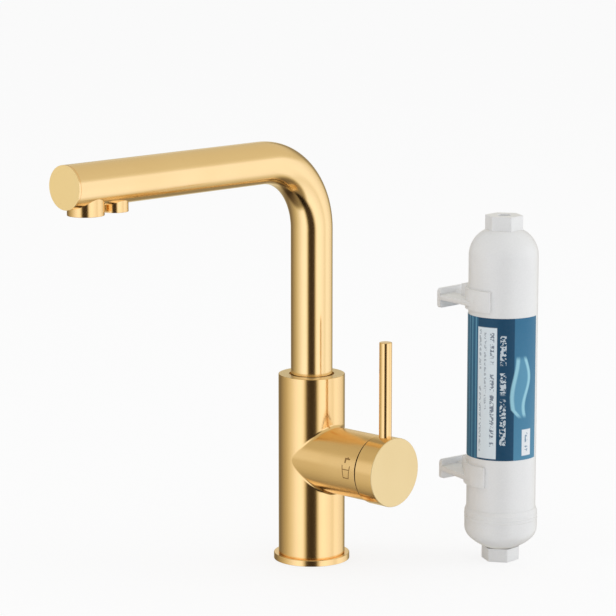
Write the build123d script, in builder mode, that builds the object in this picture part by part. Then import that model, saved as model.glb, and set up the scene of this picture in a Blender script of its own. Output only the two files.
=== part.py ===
"""Three-way filtered water tap and the inline filter cartridge that belongs to it.

Millimetres. The origin is the centre of the tap's underside, +Z is up, the spout points
along -Y and the valve barrel along +X. The cartridge stands on the same surface.
"""

from build123d import *
import os
from math import atan2, cos, degrees, hypot, radians, sin, sqrt, tan

os.makedirs("parts", exist_ok=True)

# ---------------------------------------------------------------- driving dimensions

# Clearances
seat_gap = 0.03  # between pieces that are screwed, pressed or bonded together
running_gap = 0.05  # round a shaft that turns in a bore
pass_gap = 0.3  # between pieces that only pass each other

# Base
base_ring_step = 3.5  # how far the ring stands out past the body
base_ring_h = 4.5
base_ring_edge = 0.5
base_seal_land = 2.0  # between the seal's groove and the ring's outer edge
base_seal_w = 3.5
base_seal_t = 2.0
inlet_block_d = 39.0
inlet_block_h = 14.0
tail_hole_r = 4.5  # M10 x 1 sockets for the three supply tails
tail_hole_depth = 12.0
side_tail_x = 4.0
side_tail_y = 12.0
filtered_tail_x = -12.5
stud_hole_r = 3.4  # M8 fixing stud
stud_hole_depth = 12.0

# Body
body_d = 48.0
body_top_z = 136.8
body_edge = 0.5
shadow_line_h = 0.6
shadow_line_depth = 0.8
waterway_r = 3.5
outgoing_waterway_r = 2.8
riser_overlap = 2.0  # of the mixed-water riser with the filtered-water tube's bore
drill_overrun = 1.0

# Valve barrel
valve_z = 76.5
barrel_inset = 0.2  # how much smaller the barrel's radius is than the body's
barrel_end_x = 64.3
barrel_edge = 0.3
crease_fillet = 3.0
chamber_floor_x = 21.0
chamber_r = 18.0
nut_bore_r = 19.1

# Three-way cartridge
housing_base_t = 4.0
housing_wall = 2.3
housing_lip_t = 2.0
housing_neck_l = 6.0
port_seal_r = 0.75
port_seal_squeeze = 0.2
fixed_disc_t = 3.5
moving_disc_t = 4.0
moving_disc_r = 10.0
moving_disc_flat = 8.0
disc_film = 0.05
side_port_drop = 5.0
filtered_port_drop = 11.0
mixed_port_side = 9.0
mixed_port_rise = 9.0
tilt_pivot_x = 40.0
tilt_range = 20.0
stem_r = 4.0
stem_neck_r = 1.8
stem_ball_r = 2.2
stem_ball_arm = 8.5
tilt_pin_r = 1.5
tilt_pin_l = 17.0
nut_l = 11.0
nut_slot_w = 4.0
nut_slot_depth = 2.5

# Handle
handle_gap = 1.7
handle_step = 0.9  # how far the cap stands out past the barrel
handle_l = 15.5
handle_edge = 0.5
handle_rim_edge = 0.2
sweep_gap = 0.5  # the cap's hollow round the barrel's end as it tilts
dome_clear = 1.25  # the cap's hollow round the dome
dome_t = 1.7
stem_cover_t = 2.2  # of the cap between the stem's end and its face
lever_d = 9.0
lever_top_z = 169.0
lever_from_rim = 6.25  # the pin stands nearer to the cap's rim than to its face
lever_seat_r = 19.0  # how far the pin's foot is from the barrel's axis
lever_edge = 0.5
set_screw_r = 2.0
set_screw_l = 8.0

# Spout
tube_d = 30.0
tube_wall = 1.5
spout_z = 294.0
bend_r = 51.8
spout_reach = 233.2
end_cap_t = 2.0
end_cap_plug_l = 4.0
end_cap_edge = 0.3
joint_line = 0.25
socket_r = 16.2
socket_floor_z = 100.0
foot_gap = 2.0
foot_top_z = 134.0
foot_bore_r = 10.5
foot_spigot_l = 9.0
slip_ring_w = 4.0
slip_ring_depth = 1.2
slip_ring_slit = 1.5
seal_groove_w = 2.6
seal_groove_depth = 1.6
retaining_groove_depth = 2.4
lower_slip_z = 103.2
lower_seal_z = 109.0
upper_seal_z = 113.4
retaining_z = 118.6
upper_slip_z = 127.4
retaining_tip_r = 1.9
inner_tube_r = 4.0
inner_tube_wall = 1.0
inner_tube_bottom_z = 89.0
inner_seal_w = 1.8
inner_bend_r = 9.0

# Outlets under the spout
outlet_end_land = 3.2  # between the mixed-water hole and the end cap's plug
mixed_collar_d = 25.0
mixed_collar_wall = 1.6
mixed_hole_r = 9.4
outlet_spacing = 4.5  # between the two collars
filtered_collar_d = 18.0
filtered_collar_wall = 1.4
filtered_hole_r = 6.2
collar_drop = 5.0
collar_edge = 0.3
insert_recess = 0.7
insert_rise = 4.0  # of the mixed-water insert above the tube's wall
washer_t = 1.2
grid_t = 1.2
grid_hole_r = 0.85
grid_pitch = 2.6
grid_rows = 5

# Filter cartridge
filter_x = 100.8
filter_y = 93.3
shell_d = 50.0
shell_wall = 2.5
shell_bottom_z = 27.0
filter_h = 252.5
shoulder_drop = 29.0  # this and the other drops are from the top port's face
shoulder_r = 20.5
crown_r = 13.0
port_flats = 24.0
port_turn = 32.0
port_corner_r = 1.2
port_hole_r = 5.5
port_hole_depth = 10.0
through_hole_r = 3.5
end_cap_d = 53.0
end_cap_top_z = 39.5
end_cap_bevel = 2.6
end_cap_lip_t = 0.2
end_dome_z = 25.0
end_dome_h = 17.2
end_dome_wall = 3.0
end_knuckle_r = 11.0
label_bottom_z = 78.2
label_top_z = 181.5
label_t = 0.2
label_gap_deg = 30.0  # bare strip where the label's two ends stop short
label_gap_turn = 34.0  # the strip is at the right, seen from the front corner
block_bottom_z = 48.0
block_top_drop = 38.5
block_r = 19.3
block_bore_r = 7.0
wrap_t = 1.2
plate_t = 4.0
plate_r = 21.4
skirt_r = 17.0
skirt_wall = 2.0
spigot_r = 6.0
spigot_bore_r = 3.5
spigot_top_drop = 17.5
spigot_boss_wall = 2.5
spigot_boss_drop = 26.5
outlet_seal_drop = 22.0
outlet_seal_w = 1.6
pad_t = 4.0

# Mounting clips
clip_h = 15.0
clip_wall = 2.2
clip_mouth_deg = 140.0
clip_end_edge = 0.6
upper_clip_z = 185.5
lower_clip_z = 57.5
lower_clip_turn = -7.0
clip_pad_reach = 46.3
clip_pad_w = 38.0
clip_pad_t = 2.8
clip_pad_h = 14.2
clip_pad_drop = 3.4
clip_pad_corner = 2.5
clip_saddle_reach = 31.0
clip_saddle_w = 20.0
clip_web_t = 3.5
clip_web_z = 2.7
clip_boss_r = 4.6
clip_screw_r = 2.1
clip_head_r = 4.0
clip_head_depth = 1.6

# ---------------------------------------------------------------- worked-out places

body_r = body_d / 2
barrel_r = body_r - barrel_inset
tube_r = tube_d / 2
tube_bore_r = tube_r - tube_wall
inlet_block_r = inlet_block_d / 2
base_ring_r = body_r + base_ring_step
base_seal_r = base_ring_r - base_seal_land
handle_r = barrel_r + handle_step
lever_r = lever_d / 2
shell_r = shell_d / 2
end_cap_r = end_cap_d / 2

shadow_top_z = base_ring_h + shadow_line_h
foot_r = socket_r - pass_gap
foot_bottom_z = socket_floor_z + foot_gap
slip_groove_r = foot_r - slip_ring_depth
seal_groove_r = foot_r - seal_groove_depth
retaining_groove_r = foot_r - retaining_groove_depth
spout_floor_z = spout_z - tube_r  # the tube's lowest line
mixed_reach = spout_reach - end_cap_t - end_cap_plug_l - outlet_end_land - mixed_hole_r
filtered_reach = mixed_reach - mixed_collar_d / 2 - outlet_spacing - filtered_collar_d / 2

# Outgoing drillings: mixed water beside the filtered-water tube, both inside the foot
mixed_riser_x = -outgoing_waterway_r - inner_tube_r + riser_overlap
side_port_z = valve_z - side_port_drop
filtered_port_z = valve_z - filtered_port_drop
mixed_port_z = valve_z + mixed_port_rise
# Each port of the cartridge as (along Y, along Z) from the barrel's axis, with its radius
valve_ports = (
    (side_tail_y, -side_port_drop, waterway_r),
    (-side_tail_y, -side_port_drop, waterway_r),
    (0, -filtered_port_drop, waterway_r),
    (mixed_port_side, mixed_port_rise, outgoing_waterway_r),
    (0, 0, outgoing_waterway_r),
)

housing_x = chamber_floor_x + port_seal_squeeze
housing_r = chamber_r - seat_gap
housing_bore_r = housing_r - housing_wall
fixed_disc_x = housing_x + housing_base_t + seat_gap
moving_disc_x = fixed_disc_x + fixed_disc_t + disc_film
carrier_x = moving_disc_x + disc_film
carrier_r = housing_bore_r - running_gap
pocket_x = moving_disc_x + moving_disc_t + disc_film
carrier_end_x = tilt_pivot_x + stem_r
lip_x = carrier_end_x + running_gap
nut_x = lip_x + housing_lip_t
neck_r = carrier_r - housing_lip_t
disc_travel = stem_ball_arm * radians(tilt_range)

# The dome and the cap's hollow are both round the tilt pivot
rim_x = barrel_end_x + handle_gap
handle_face_x = rim_x + handle_l
sweep_r = hypot(barrel_end_x - tilt_pivot_x, barrel_r)
hollow_r = sweep_r + sweep_gap
dome_r = hollow_r - dome_clear - sweep_gap
stem_swing = sin(radians(tilt_range))
dome_hole_r = dome_r * stem_swing + stem_r + pass_gap
hollow_end_x = tilt_pivot_x + hollow_r
stem_end_x = handle_face_x - stem_cover_t
lever_x = rim_x + lever_from_rim
set_screw_x = (hollow_end_x + stem_end_x) / 2

# Filter
shoulder_z = filter_h - shoulder_drop
block_top_z = filter_h - block_top_drop
spigot_top_z = filter_h - spigot_top_drop
spigot_boss_bottom_z = filter_h - spigot_boss_drop
outlet_seal_z = filter_h - outlet_seal_drop
label_r = shell_r + running_gap + label_t
shell_bore_r = shell_r - shell_wall
clip_bore_r = shell_r + running_gap
clip_outer_r = clip_bore_r + clip_wall

# ---------------------------------------------------------------- planes, axes, helpers

barrel_axis = Axis((0, 0, valve_z), (1, 0, 0))
barrel_section = Plane(origin=(0, 0, valve_z), x_dir=(1, 0, 0), z_dir=(0, -1, 0))
spout_axis = Axis((0, 0, spout_z), (0, -1, 0))
spout_section = Plane(origin=(0, 0, spout_z), x_dir=(0, -1, 0), z_dir=(-1, 0, 0))
filter_axis = Axis((filter_x, filter_y, 0), (0, 0, 1))
filter_section = Plane(origin=(filter_x, filter_y, 0), x_dir=(1, 0, 0), z_dir=(0, -1, 0))


def across_barrel(x, y=0.0, z=0.0):
    """Plane across the valve barrel, y and z measured from its axis, facing +X."""
    return Plane(origin=(x, y, valve_z + z), x_dir=(0, 1, 0), z_dir=(1, 0, 0))


def under_spout(reach, z):
    """Horizontal plane on the axis of an outlet at this reach."""
    return Plane(origin=(0, -reach, z))


def filter_level(z):
    """Horizontal plane on the cartridge's axis."""
    return Plane(origin=(filter_x, filter_y, z))


def rod(plane, radius, length, mode=Mode.ADD):
    """A cylinder that stands on a plane."""
    with BuildSketch(plane) as circle:
        Circle(radius)
    extrude(circle.sketch, amount=length, mode=mode)


def tube(plane, outer, inner, length, mode=Mode.ADD):
    """A hollow cylinder that stands on a plane."""
    with BuildSketch(plane) as annulus:
        Circle(outer)
        Circle(inner, mode=Mode.SUBTRACT)
    extrude(annulus.sketch, amount=length, mode=mode)


def turn(points, plane, axis, mode=Mode.ADD):
    """A closed outline of points on a plane, turned once round an axis."""
    with BuildSketch(plane) as outline:
        with BuildLine():
            Polyline(*points, close=True)
        make_face()
    revolve(outline.sketch, axis=axis, mode=mode)


def wedge(angle_deg, reach):
    """Cut a wedge with its point on the axis, open towards the sketch's +X."""
    half = radians(angle_deg / 2)
    near_corner = (reach * cos(half), reach * sin(half))
    with BuildSketch(mode=Mode.PRIVATE) as cut:
        with BuildLine():
            Polyline(
                (0, 0),
                near_corner,
                (2 * reach, 0),
                (near_corner[0], -near_corner[1]),
                close=True,
            )
        make_face()
    add(cut.sketch, mode=Mode.SUBTRACT)


def save(piece, label):
    """Name a finished piece and write it to its file."""
    piece.part.label = label
    export_step(piece.part, f"parts/{label}.step")


# ---------------------------------------------------------------- base

with BuildPart() as base_ring:
    tube(Plane.XY, base_ring_r, inlet_block_r + seat_gap, base_ring_h)
    outer_edges = base_ring.edges().filter_by(GeomType.CIRCLE).group_by(SortBy.RADIUS)[-1]
    chamfer(outer_edges, base_ring_edge)
    tube(Plane.XY, base_seal_r, base_seal_r - base_seal_w, base_seal_t, Mode.SUBTRACT)
save(base_ring, "base_ring")

with BuildPart() as base_seal:
    seal_bore_r = base_seal_r - base_seal_w + seat_gap
    tube(Plane.XY, base_seal_r - seat_gap, seal_bore_r, base_seal_t)
save(base_seal, "base_seal")

tail_places = (
    (side_tail_x, side_tail_y),
    (side_tail_x, -side_tail_y),
    (filtered_tail_x, 0),
)

with BuildPart() as inlet_block:
    rod(Plane.XY, inlet_block_r, inlet_block_h)
    for x, y in tail_places:
        rod(Plane((x, y, 0)), tail_hole_r, tail_hole_depth, Mode.SUBTRACT)
        rod(Plane((x, y, 0)), waterway_r, inlet_block_h, Mode.SUBTRACT)
    rod(Plane.XY, stud_hole_r, stud_hole_depth, Mode.SUBTRACT)
save(inlet_block, "inlet_block")

# ---------------------------------------------------------------- body

retaining_plane = Plane(origin=(0, 0, retaining_z), x_dir=(1, 0, 0), z_dir=(0, 1, 0))

with BuildPart() as body_casting:
    rod(Plane.XY.offset(shadow_top_z), body_r, body_top_z - shadow_top_z)
    rod(across_barrel(0), barrel_r, barrel_end_x)
    straight = (GeomType.LINE, GeomType.CIRCLE)
    crease = [edge for edge in body_casting.edges() if edge.geom_type not in straight]
    fillet(crease, crease_fillet)
    rims = body_casting.edges().filter_by(GeomType.CIRCLE)
    chamfer(rims.group_by(Axis.Z)[-1], body_edge)
    chamfer(rims.group_by(Axis.X)[-1], barrel_edge)
    # Step that stands on the base ring and leaves the dark line above it
    rod(Plane.XY.offset(base_ring_h), body_r - shadow_line_depth, shadow_line_h)
    block_top = inlet_block_h + seat_gap
    rod(
        Plane.XY.offset(base_ring_h),
        inlet_block_r + seat_gap,
        block_top - base_ring_h,
        Mode.SUBTRACT,
    )
    # Spout socket, with the filtered-water tube's socket and seal seat in its floor
    rod(Plane.XY.offset(socket_floor_z), socket_r, body_top_z - socket_floor_z, Mode.SUBTRACT)
    tube_socket_z = inner_tube_bottom_z - foot_gap
    rod(
        Plane.XY.offset(tube_socket_z),
        inner_tube_r + running_gap,
        socket_floor_z - tube_socket_z,
        Mode.SUBTRACT,
    )
    inner_seal_outer_r = inner_tube_r + inner_seal_w + seat_gap
    inner_seal_z = socket_floor_z - inner_seal_w
    rod(Plane.XY.offset(inner_seal_z), inner_seal_outer_r, inner_seal_w, Mode.SUBTRACT)
    # Valve chamber
    rod(across_barrel(chamber_floor_x), chamber_r, barrel_end_x - chamber_floor_x, Mode.SUBTRACT)
    rod(across_barrel(nut_x), nut_bore_r, barrel_end_x - nut_x, Mode.SUBTRACT)
    # Supply drillings: up from the inlet block, then across to the chamber's floor
    supply_heights = (side_port_z, side_port_z, filtered_port_z)
    for (x, y), port_z in zip(tail_places, supply_heights):
        rise = port_z + drill_overrun - block_top
        rod(Plane((x, y, block_top)), waterway_r, rise, Mode.SUBTRACT)
        start_x = x - drill_overrun
        run = chamber_floor_x - start_x
        rod(across_barrel(start_x, y, port_z - valve_z), waterway_r, run, Mode.SUBTRACT)
    # Outgoing drillings: back from the floor, then up to the spout socket
    outgoing = (
        (mixed_riser_x, mixed_port_side, mixed_port_z, socket_floor_z),
        (0, 0, valve_z, tube_socket_z),
    )
    for x, y, port_z, end_z in outgoing:
        start_z = port_z - drill_overrun
        rod(Plane((x, y, start_z)), outgoing_waterway_r, end_z - start_z, Mode.SUBTRACT)
        start_x = x - drill_overrun
        run = chamber_floor_x - start_x
        across = across_barrel(start_x, y, port_z - valve_z)
        rod(across, outgoing_waterway_r, run, Mode.SUBTRACT)
    rod(retaining_plane, set_screw_r + seat_gap, body_r, Mode.SUBTRACT)
save(body_casting, "body_casting")

with BuildPart() as spout_retaining_screw:
    screw_start = socket_r + pass_gap
    rod(retaining_plane.offset(screw_start), set_screw_r, body_r - screw_start - body_edge)
    tip_start = retaining_groove_r + pass_gap
    rod(retaining_plane.offset(tip_start), retaining_tip_r, screw_start - tip_start)
    with BuildSketch(retaining_plane.offset(body_r - body_edge)):
        RegularPolygon(set_screw_r / 2, 6)
    extrude(amount=-set_screw_r, mode=Mode.SUBTRACT)
save(spout_retaining_screw, "spout_retaining_screw")

with BuildPart() as inner_tube_seal:
    tube(
        Plane.XY.offset(inner_seal_z),
        inner_seal_outer_r - seat_gap,
        inner_tube_r + seat_gap,
        inner_seal_w,
    )
save(inner_tube_seal, "inner_tube_seal")

# ---------------------------------------------------------------- three-way cartridge

port_seal_outer = port_seal_r * 2 + seat_gap

with BuildPart() as cartridge_housing:
    turn(
        (
            (housing_x, 0),
            (housing_x, housing_r),
            (nut_x, housing_r),
            (nut_x, neck_r + housing_wall),
            (nut_x + housing_neck_l, neck_r + housing_wall),
            (nut_x + housing_neck_l, neck_r),
            (lip_x, neck_r),
            (lip_x, housing_bore_r),
            (fixed_disc_x - seat_gap, housing_bore_r),
            (fixed_disc_x - seat_gap, 0),
        ),
        barrel_section,
        barrel_axis,
    )
    for y, z, radius in valve_ports:
        port = across_barrel(housing_x, y, z)
        rod(port, radius, housing_base_t, Mode.SUBTRACT)
        seat_depth = 2 * port_seal_r - port_seal_squeeze
        rod(port, radius + port_seal_outer, seat_depth, Mode.SUBTRACT)
save(cartridge_housing, "cartridge_housing")

with BuildPart() as cartridge_seals:
    for y, z, radius in valve_ports:
        seal_height = 2 * port_seal_r - seat_gap
        tube(across_barrel(chamber_floor_x, y, z), radius + 2 * port_seal_r, radius, seal_height)
save(cartridge_seals, "cartridge_seals")

with BuildPart() as fixed_ceramic_disc:
    rod(across_barrel(fixed_disc_x), housing_bore_r - seat_gap, fixed_disc_t)
    for y, z, radius in valve_ports:
        rod(across_barrel(fixed_disc_x, y, z), radius * 0.8, fixed_disc_t, Mode.SUBTRACT)
save(fixed_ceramic_disc, "fixed_ceramic_disc")

ball_x = tilt_pivot_x - stem_ball_arm
pocket_floor_x = ball_x - stem_ball_r - seat_gap
pocket_r = stem_ball_r + pass_gap

with BuildPart() as moving_ceramic_disc:
    with BuildSketch(across_barrel(moving_disc_x)):
        Circle(moving_disc_r)
        Rectangle(2 * moving_disc_flat, 2 * moving_disc_r, mode=Mode.INTERSECT)
    extrude(amount=moving_disc_t)
    rod(across_barrel(pocket_floor_x), pocket_r, moving_disc_t, Mode.SUBTRACT)
save(moving_ceramic_disc, "moving_ceramic_disc")

most_tilt = radians(tilt_range)
slot_reach = stem_r * (tan(most_tilt) + 1 / cos(most_tilt)) + running_gap

with BuildPart() as spindle_carrier:
    rod(across_barrel(carrier_x), carrier_r, carrier_end_x - carrier_x)
    # Pocket in which the moving disc slides as the handle tilts
    travel = disc_travel + running_gap
    pocket_wall_r = moving_disc_r + running_gap
    with BuildSketch(across_barrel(carrier_x)):
        Circle(pocket_wall_r)
        with Locations((0, travel)):
            Circle(pocket_wall_r)
        Rectangle(2 * pocket_wall_r, travel, align=(Align.CENTER, Align.MIN))
        flats = 2 * (moving_disc_flat + running_gap)
        Rectangle(flats, 4 * moving_disc_r, mode=Mode.INTERSECT)
    extrude(amount=pocket_x - carrier_x, mode=Mode.SUBTRACT)
    # Slot for the stem, wide across the tilt and long along it
    with BuildSketch(across_barrel(carrier_x)):
        Rectangle(2 * (stem_r + running_gap), 2 * slot_reach)
    extrude(amount=carrier_end_x - carrier_x, mode=Mode.SUBTRACT)
    pin_plane = Plane(
        origin=(tilt_pivot_x, -tilt_pin_l / 2, valve_z), x_dir=(1, 0, 0), z_dir=(0, 1, 0)
    )
    rod(pin_plane, tilt_pin_r + seat_gap, tilt_pin_l, Mode.SUBTRACT)
save(spindle_carrier, "spindle_carrier")

with BuildPart() as tilt_pin:
    rod(pin_plane, tilt_pin_r, tilt_pin_l)
save(tilt_pin, "tilt_pin")

with BuildPart() as cartridge_nut:
    tube(across_barrel(nut_x), nut_bore_r - seat_gap, neck_r + housing_wall + seat_gap, nut_l)
    with BuildSketch(across_barrel(nut_x + nut_l)):
        Rectangle(2 * nut_bore_r, nut_slot_w)
        Rectangle(nut_slot_w, 2 * nut_bore_r)
    extrude(amount=-nut_slot_depth, mode=Mode.SUBTRACT)
save(cartridge_nut, "cartridge_nut")

# ---------------------------------------------------------------- dome and handle

dome_inner_r = dome_r - dome_t
dome_skirt_x = nut_x + nut_l + pass_gap
dome_skirt_r = nut_bore_r - seat_gap


def ball_x_at(ball_r, radius):
    """Where a ball round the tilt pivot has this radius, beyond the barrel's end."""
    return tilt_pivot_x + sqrt(ball_r**2 - radius**2)


with BuildPart() as dome_trim:
    foot_radius = sqrt(dome_r**2 - (barrel_end_x - tilt_pivot_x) ** 2)
    inner_foot_radius = dome_skirt_r - dome_t
    with BuildSketch(barrel_section):
        with BuildLine():
            outer_arc = RadiusArc(
                (barrel_end_x, foot_radius), (ball_x_at(dome_r, dome_hole_r), dome_hole_r), dome_r
            )
            inner_start = (ball_x_at(dome_inner_r, dome_hole_r), dome_hole_r)
            Line(outer_arc @ 1, inner_start)
            inner_arc = RadiusArc(
                inner_start,
                (ball_x_at(dome_inner_r, inner_foot_radius), inner_foot_radius),
                -dome_inner_r,
            )
            Polyline(
                inner_arc @ 1,
                (dome_skirt_x, inner_foot_radius),
                (dome_skirt_x, dome_skirt_r),
                (barrel_end_x, dome_skirt_r),
                (barrel_end_x, foot_radius),
            )
        make_face()
    revolve(axis=barrel_axis)
save(dome_trim, "dome_trim")

lever_plane = Plane(origin=(lever_x, 0, valve_z + lever_seat_r))
set_screw_plane = Plane(
    origin=(set_screw_x, 0, valve_z - stem_r - seat_gap), x_dir=(1, 0, 0), z_dir=(0, 0, -1)
)

with BuildPart() as handle_cap:
    socket_wall_r = stem_r + seat_gap
    rim_inner_r = sqrt(hollow_r**2 - (rim_x - tilt_pivot_x) ** 2)
    with BuildSketch(barrel_section):
        with BuildLine():
            hollow_arc = RadiusArc(
                (rim_x, rim_inner_r), (ball_x_at(hollow_r, socket_wall_r), socket_wall_r), hollow_r
            )
            Polyline(
                hollow_arc @ 1,
                (stem_end_x + seat_gap, socket_wall_r),
                (stem_end_x + seat_gap, 0),
                (handle_face_x, 0),
                (handle_face_x, handle_r - handle_edge),
                (handle_face_x - handle_edge, handle_r),
                (rim_x + handle_rim_edge, handle_r),
                (rim_x, handle_r - handle_rim_edge),
                (rim_x, rim_inner_r),
            )
        make_face()
    revolve(axis=barrel_axis)
    rod(lever_plane, lever_r + seat_gap, handle_r, Mode.SUBTRACT)
    rod(set_screw_plane, set_screw_r + seat_gap, handle_r, Mode.SUBTRACT)
save(handle_cap, "handle_cap")

with BuildPart() as lever_pin:
    rod(lever_plane, lever_r, lever_top_z - valve_z - lever_seat_r)
    fillet(lever_pin.edges().group_by(Axis.Z)[-1], lever_edge)
save(lever_pin, "lever_pin")

with BuildPart() as handle_set_screw:
    rod(set_screw_plane.offset(seat_gap), set_screw_r, set_screw_l)
    with BuildSketch(set_screw_plane.offset(seat_gap + set_screw_l)):
        RegularPolygon(set_screw_r / 2, 6)
    extrude(amount=-set_screw_r, mode=Mode.SUBTRACT)
save(handle_set_screw, "handle_set_screw")

with BuildPart() as valve_stem:
    eye_start_x = tilt_pivot_x - stem_r
    rod(across_barrel(eye_start_x), stem_r, stem_end_x - eye_start_x)
    rod(across_barrel(ball_x), stem_neck_r, eye_start_x - ball_x)
    with Locations((ball_x, 0, valve_z)):
        Sphere(stem_ball_r)
    rod(pin_plane, tilt_pin_r + running_gap, tilt_pin_l, Mode.SUBTRACT)
save(valve_stem, "valve_stem")

# ---------------------------------------------------------------- spout

with BuildPart() as spout_tube:
    with BuildLine():
        FilletPolyline(
            (0, 0, foot_top_z),
            (0, 0, spout_z),
            (0, end_cap_t - spout_reach, spout_z),
            radius=bend_r,
        )
    with BuildSketch(Plane.XY.offset(foot_top_z)):
        Circle(tube_r)
        Circle(tube_bore_r, mode=Mode.SUBTRACT)
    sweep()
    for reach, radius in ((mixed_reach, mixed_hole_r), (filtered_reach, filtered_hole_r)):
        rod(under_spout(reach, spout_floor_z - tube_wall), radius, tube_r, Mode.SUBTRACT)
save(spout_tube, "spout_tube")

with BuildPart() as spout_end_cap:
    plug_r = tube_bore_r - seat_gap
    inner_x = spout_reach - end_cap_t
    turn(
        (
            (inner_x - end_cap_plug_l, 0),
            (inner_x - end_cap_plug_l, plug_r),
            (inner_x, plug_r),
            (inner_x, tube_r - joint_line),
            (inner_x + joint_line, tube_r - joint_line),
            (inner_x + joint_line, tube_r),
            (spout_reach - end_cap_edge, tube_r),
            (spout_reach, tube_r - end_cap_edge),
            (spout_reach, 0),
        ),
        spout_section,
        spout_axis,
    )
save(spout_end_cap, "spout_end_cap")

with BuildPart() as spout_foot:
    rod(Plane.XY.offset(foot_bottom_z), foot_r, foot_top_z - foot_bottom_z)
    rod(Plane.XY.offset(foot_top_z), tube_bore_r - seat_gap, foot_spigot_l)
    for slip_z in (lower_slip_z, upper_slip_z):
        tube(Plane.XY.offset(slip_z), foot_r, slip_groove_r, slip_ring_w, Mode.SUBTRACT)
    for seal_z in (lower_seal_z, upper_seal_z):
        groove = Plane.XY.offset(seal_z - seal_groove_w / 2)
        tube(groove, foot_r, seal_groove_r, seal_groove_w, Mode.SUBTRACT)
    groove_w = 2 * (retaining_tip_r + running_gap)
    groove = Plane.XY.offset(retaining_z - groove_w / 2)
    tube(groove, foot_r, retaining_groove_r, groove_w, Mode.SUBTRACT)
    bore_l = foot_top_z + foot_spigot_l - foot_bottom_z
    rod(Plane.XY.offset(foot_bottom_z), foot_bore_r, bore_l, Mode.SUBTRACT)
save(spout_foot, "spout_foot")

with BuildPart() as spout_slip_rings:
    for slip_z in (lower_slip_z, upper_slip_z):
        tube(
            Plane.XY.offset(slip_z + seat_gap),
            socket_r - running_gap,
            slip_groove_r + seat_gap,
            slip_ring_w - 2 * seat_gap,
        )
    # Each ring is slit at the back so that it opens to go into its groove
    with BuildSketch(Plane.XY.offset(lower_slip_z)):
        with Locations((0, socket_r)):
            Rectangle(slip_ring_slit, socket_r)
    extrude(amount=upper_slip_z + slip_ring_w - lower_slip_z, mode=Mode.SUBTRACT)
save(spout_slip_rings, "spout_slip_rings")

with BuildPart() as spout_o_rings:
    ring_inner_r = seal_groove_r + seat_gap
    ring_w = socket_r - running_gap - ring_inner_r  # square-cut rings
    for seal_z in (lower_seal_z, upper_seal_z):
        ring = Plane.XY.offset(seal_z - ring_w / 2)
        tube(ring, socket_r - running_gap, ring_inner_r, ring_w)
save(spout_o_rings, "spout_o_rings")

# ---------------------------------------------------------------- outlets

collar_bottom_z = spout_floor_z - collar_drop
insert_bottom_z = collar_bottom_z + insert_recess
washer_z = spout_floor_z - washer_t - seat_gap


def outlet_collar(reach, outer_r, wall):
    """A turned collar whose top is cut to the round of the spout tube."""
    tube(under_spout(reach, collar_bottom_z), outer_r, outer_r - wall, tube_r)
    with BuildSketch(Plane.XZ.offset(reach - 2 * outer_r)) as round_tube:
        with Locations((0, spout_z)):
            Circle(tube_r)
    extrude(round_tube.sketch, amount=4 * outer_r, mode=Mode.SUBTRACT)


def outlet_insert(reach, rim_r, body_r_, top_z, bore):
    """A screw-in insert: rim inside the collar, narrower body through the tube's hole."""
    rod(under_spout(reach, insert_bottom_z), rim_r, washer_z - seat_gap - insert_bottom_z)
    rod(under_spout(reach, insert_bottom_z), body_r_, top_z - insert_bottom_z)
    cup_floor_z = insert_bottom_z + 2 * grid_t
    rod(under_spout(reach, cup_floor_z), bore, top_z - cup_floor_z, Mode.SUBTRACT)
    rod(under_spout(reach, insert_bottom_z), bore, grid_t, Mode.SUBTRACT)


mixed_insert_r = mixed_collar_d / 2 - mixed_collar_wall - seat_gap
mixed_insert_body_r = mixed_hole_r - pass_gap
mixed_insert_top_z = spout_floor_z + tube_wall + insert_rise
filtered_insert_r = filtered_collar_d / 2 - filtered_collar_wall - seat_gap
filtered_insert_body_r = filtered_hole_r - pass_gap
filtered_insert_top_z = spout_z - inner_bend_r

with BuildPart() as mixed_outlet_collar:
    outlet_collar(mixed_reach, mixed_collar_d / 2, mixed_collar_wall)
    chamfer(mixed_outlet_collar.edges().group_by(Axis.Z)[0], collar_edge)
save(mixed_outlet_collar, "mixed_outlet_collar")

with BuildPart() as filtered_outlet_collar:
    outlet_collar(filtered_reach, filtered_collar_d / 2, filtered_collar_wall)
    chamfer(filtered_outlet_collar.edges().group_by(Axis.Z)[0], collar_edge)
save(filtered_outlet_collar, "filtered_outlet_collar")

with BuildPart() as mixed_aerator:
    bore = mixed_insert_body_r - grid_t
    outlet_insert(mixed_reach, mixed_insert_r, mixed_insert_body_r, mixed_insert_top_z, bore)
    with BuildSketch(under_spout(mixed_reach, insert_bottom_z + grid_t)):
        with HexLocations(grid_pitch / 2, grid_rows, grid_rows):
            RegularPolygon(grid_hole_r, 6, major_radius=False)
    extrude(amount=grid_t, mode=Mode.SUBTRACT)
save(mixed_aerator, "mixed_aerator")

with BuildPart() as mixed_aerator_washer:
    washer_outer = mixed_insert_r
    tube(
        under_spout(mixed_reach, washer_z),
        washer_outer,
        mixed_insert_body_r + seat_gap,
        washer_t,
    )
save(mixed_aerator_washer, "mixed_aerator_washer")

with BuildPart() as filtered_aerator:
    bore = inner_tube_r - inner_tube_wall
    outlet_insert(
        filtered_reach, filtered_insert_r, filtered_insert_body_r, filtered_insert_top_z, bore
    )
    with BuildSketch(under_spout(filtered_reach, insert_bottom_z + grid_t)):
        with PolarLocations(bore / 2, 6):
            Circle(grid_hole_r * 0.7)
    extrude(amount=grid_t, mode=Mode.SUBTRACT)
save(filtered_aerator, "filtered_aerator")

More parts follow.
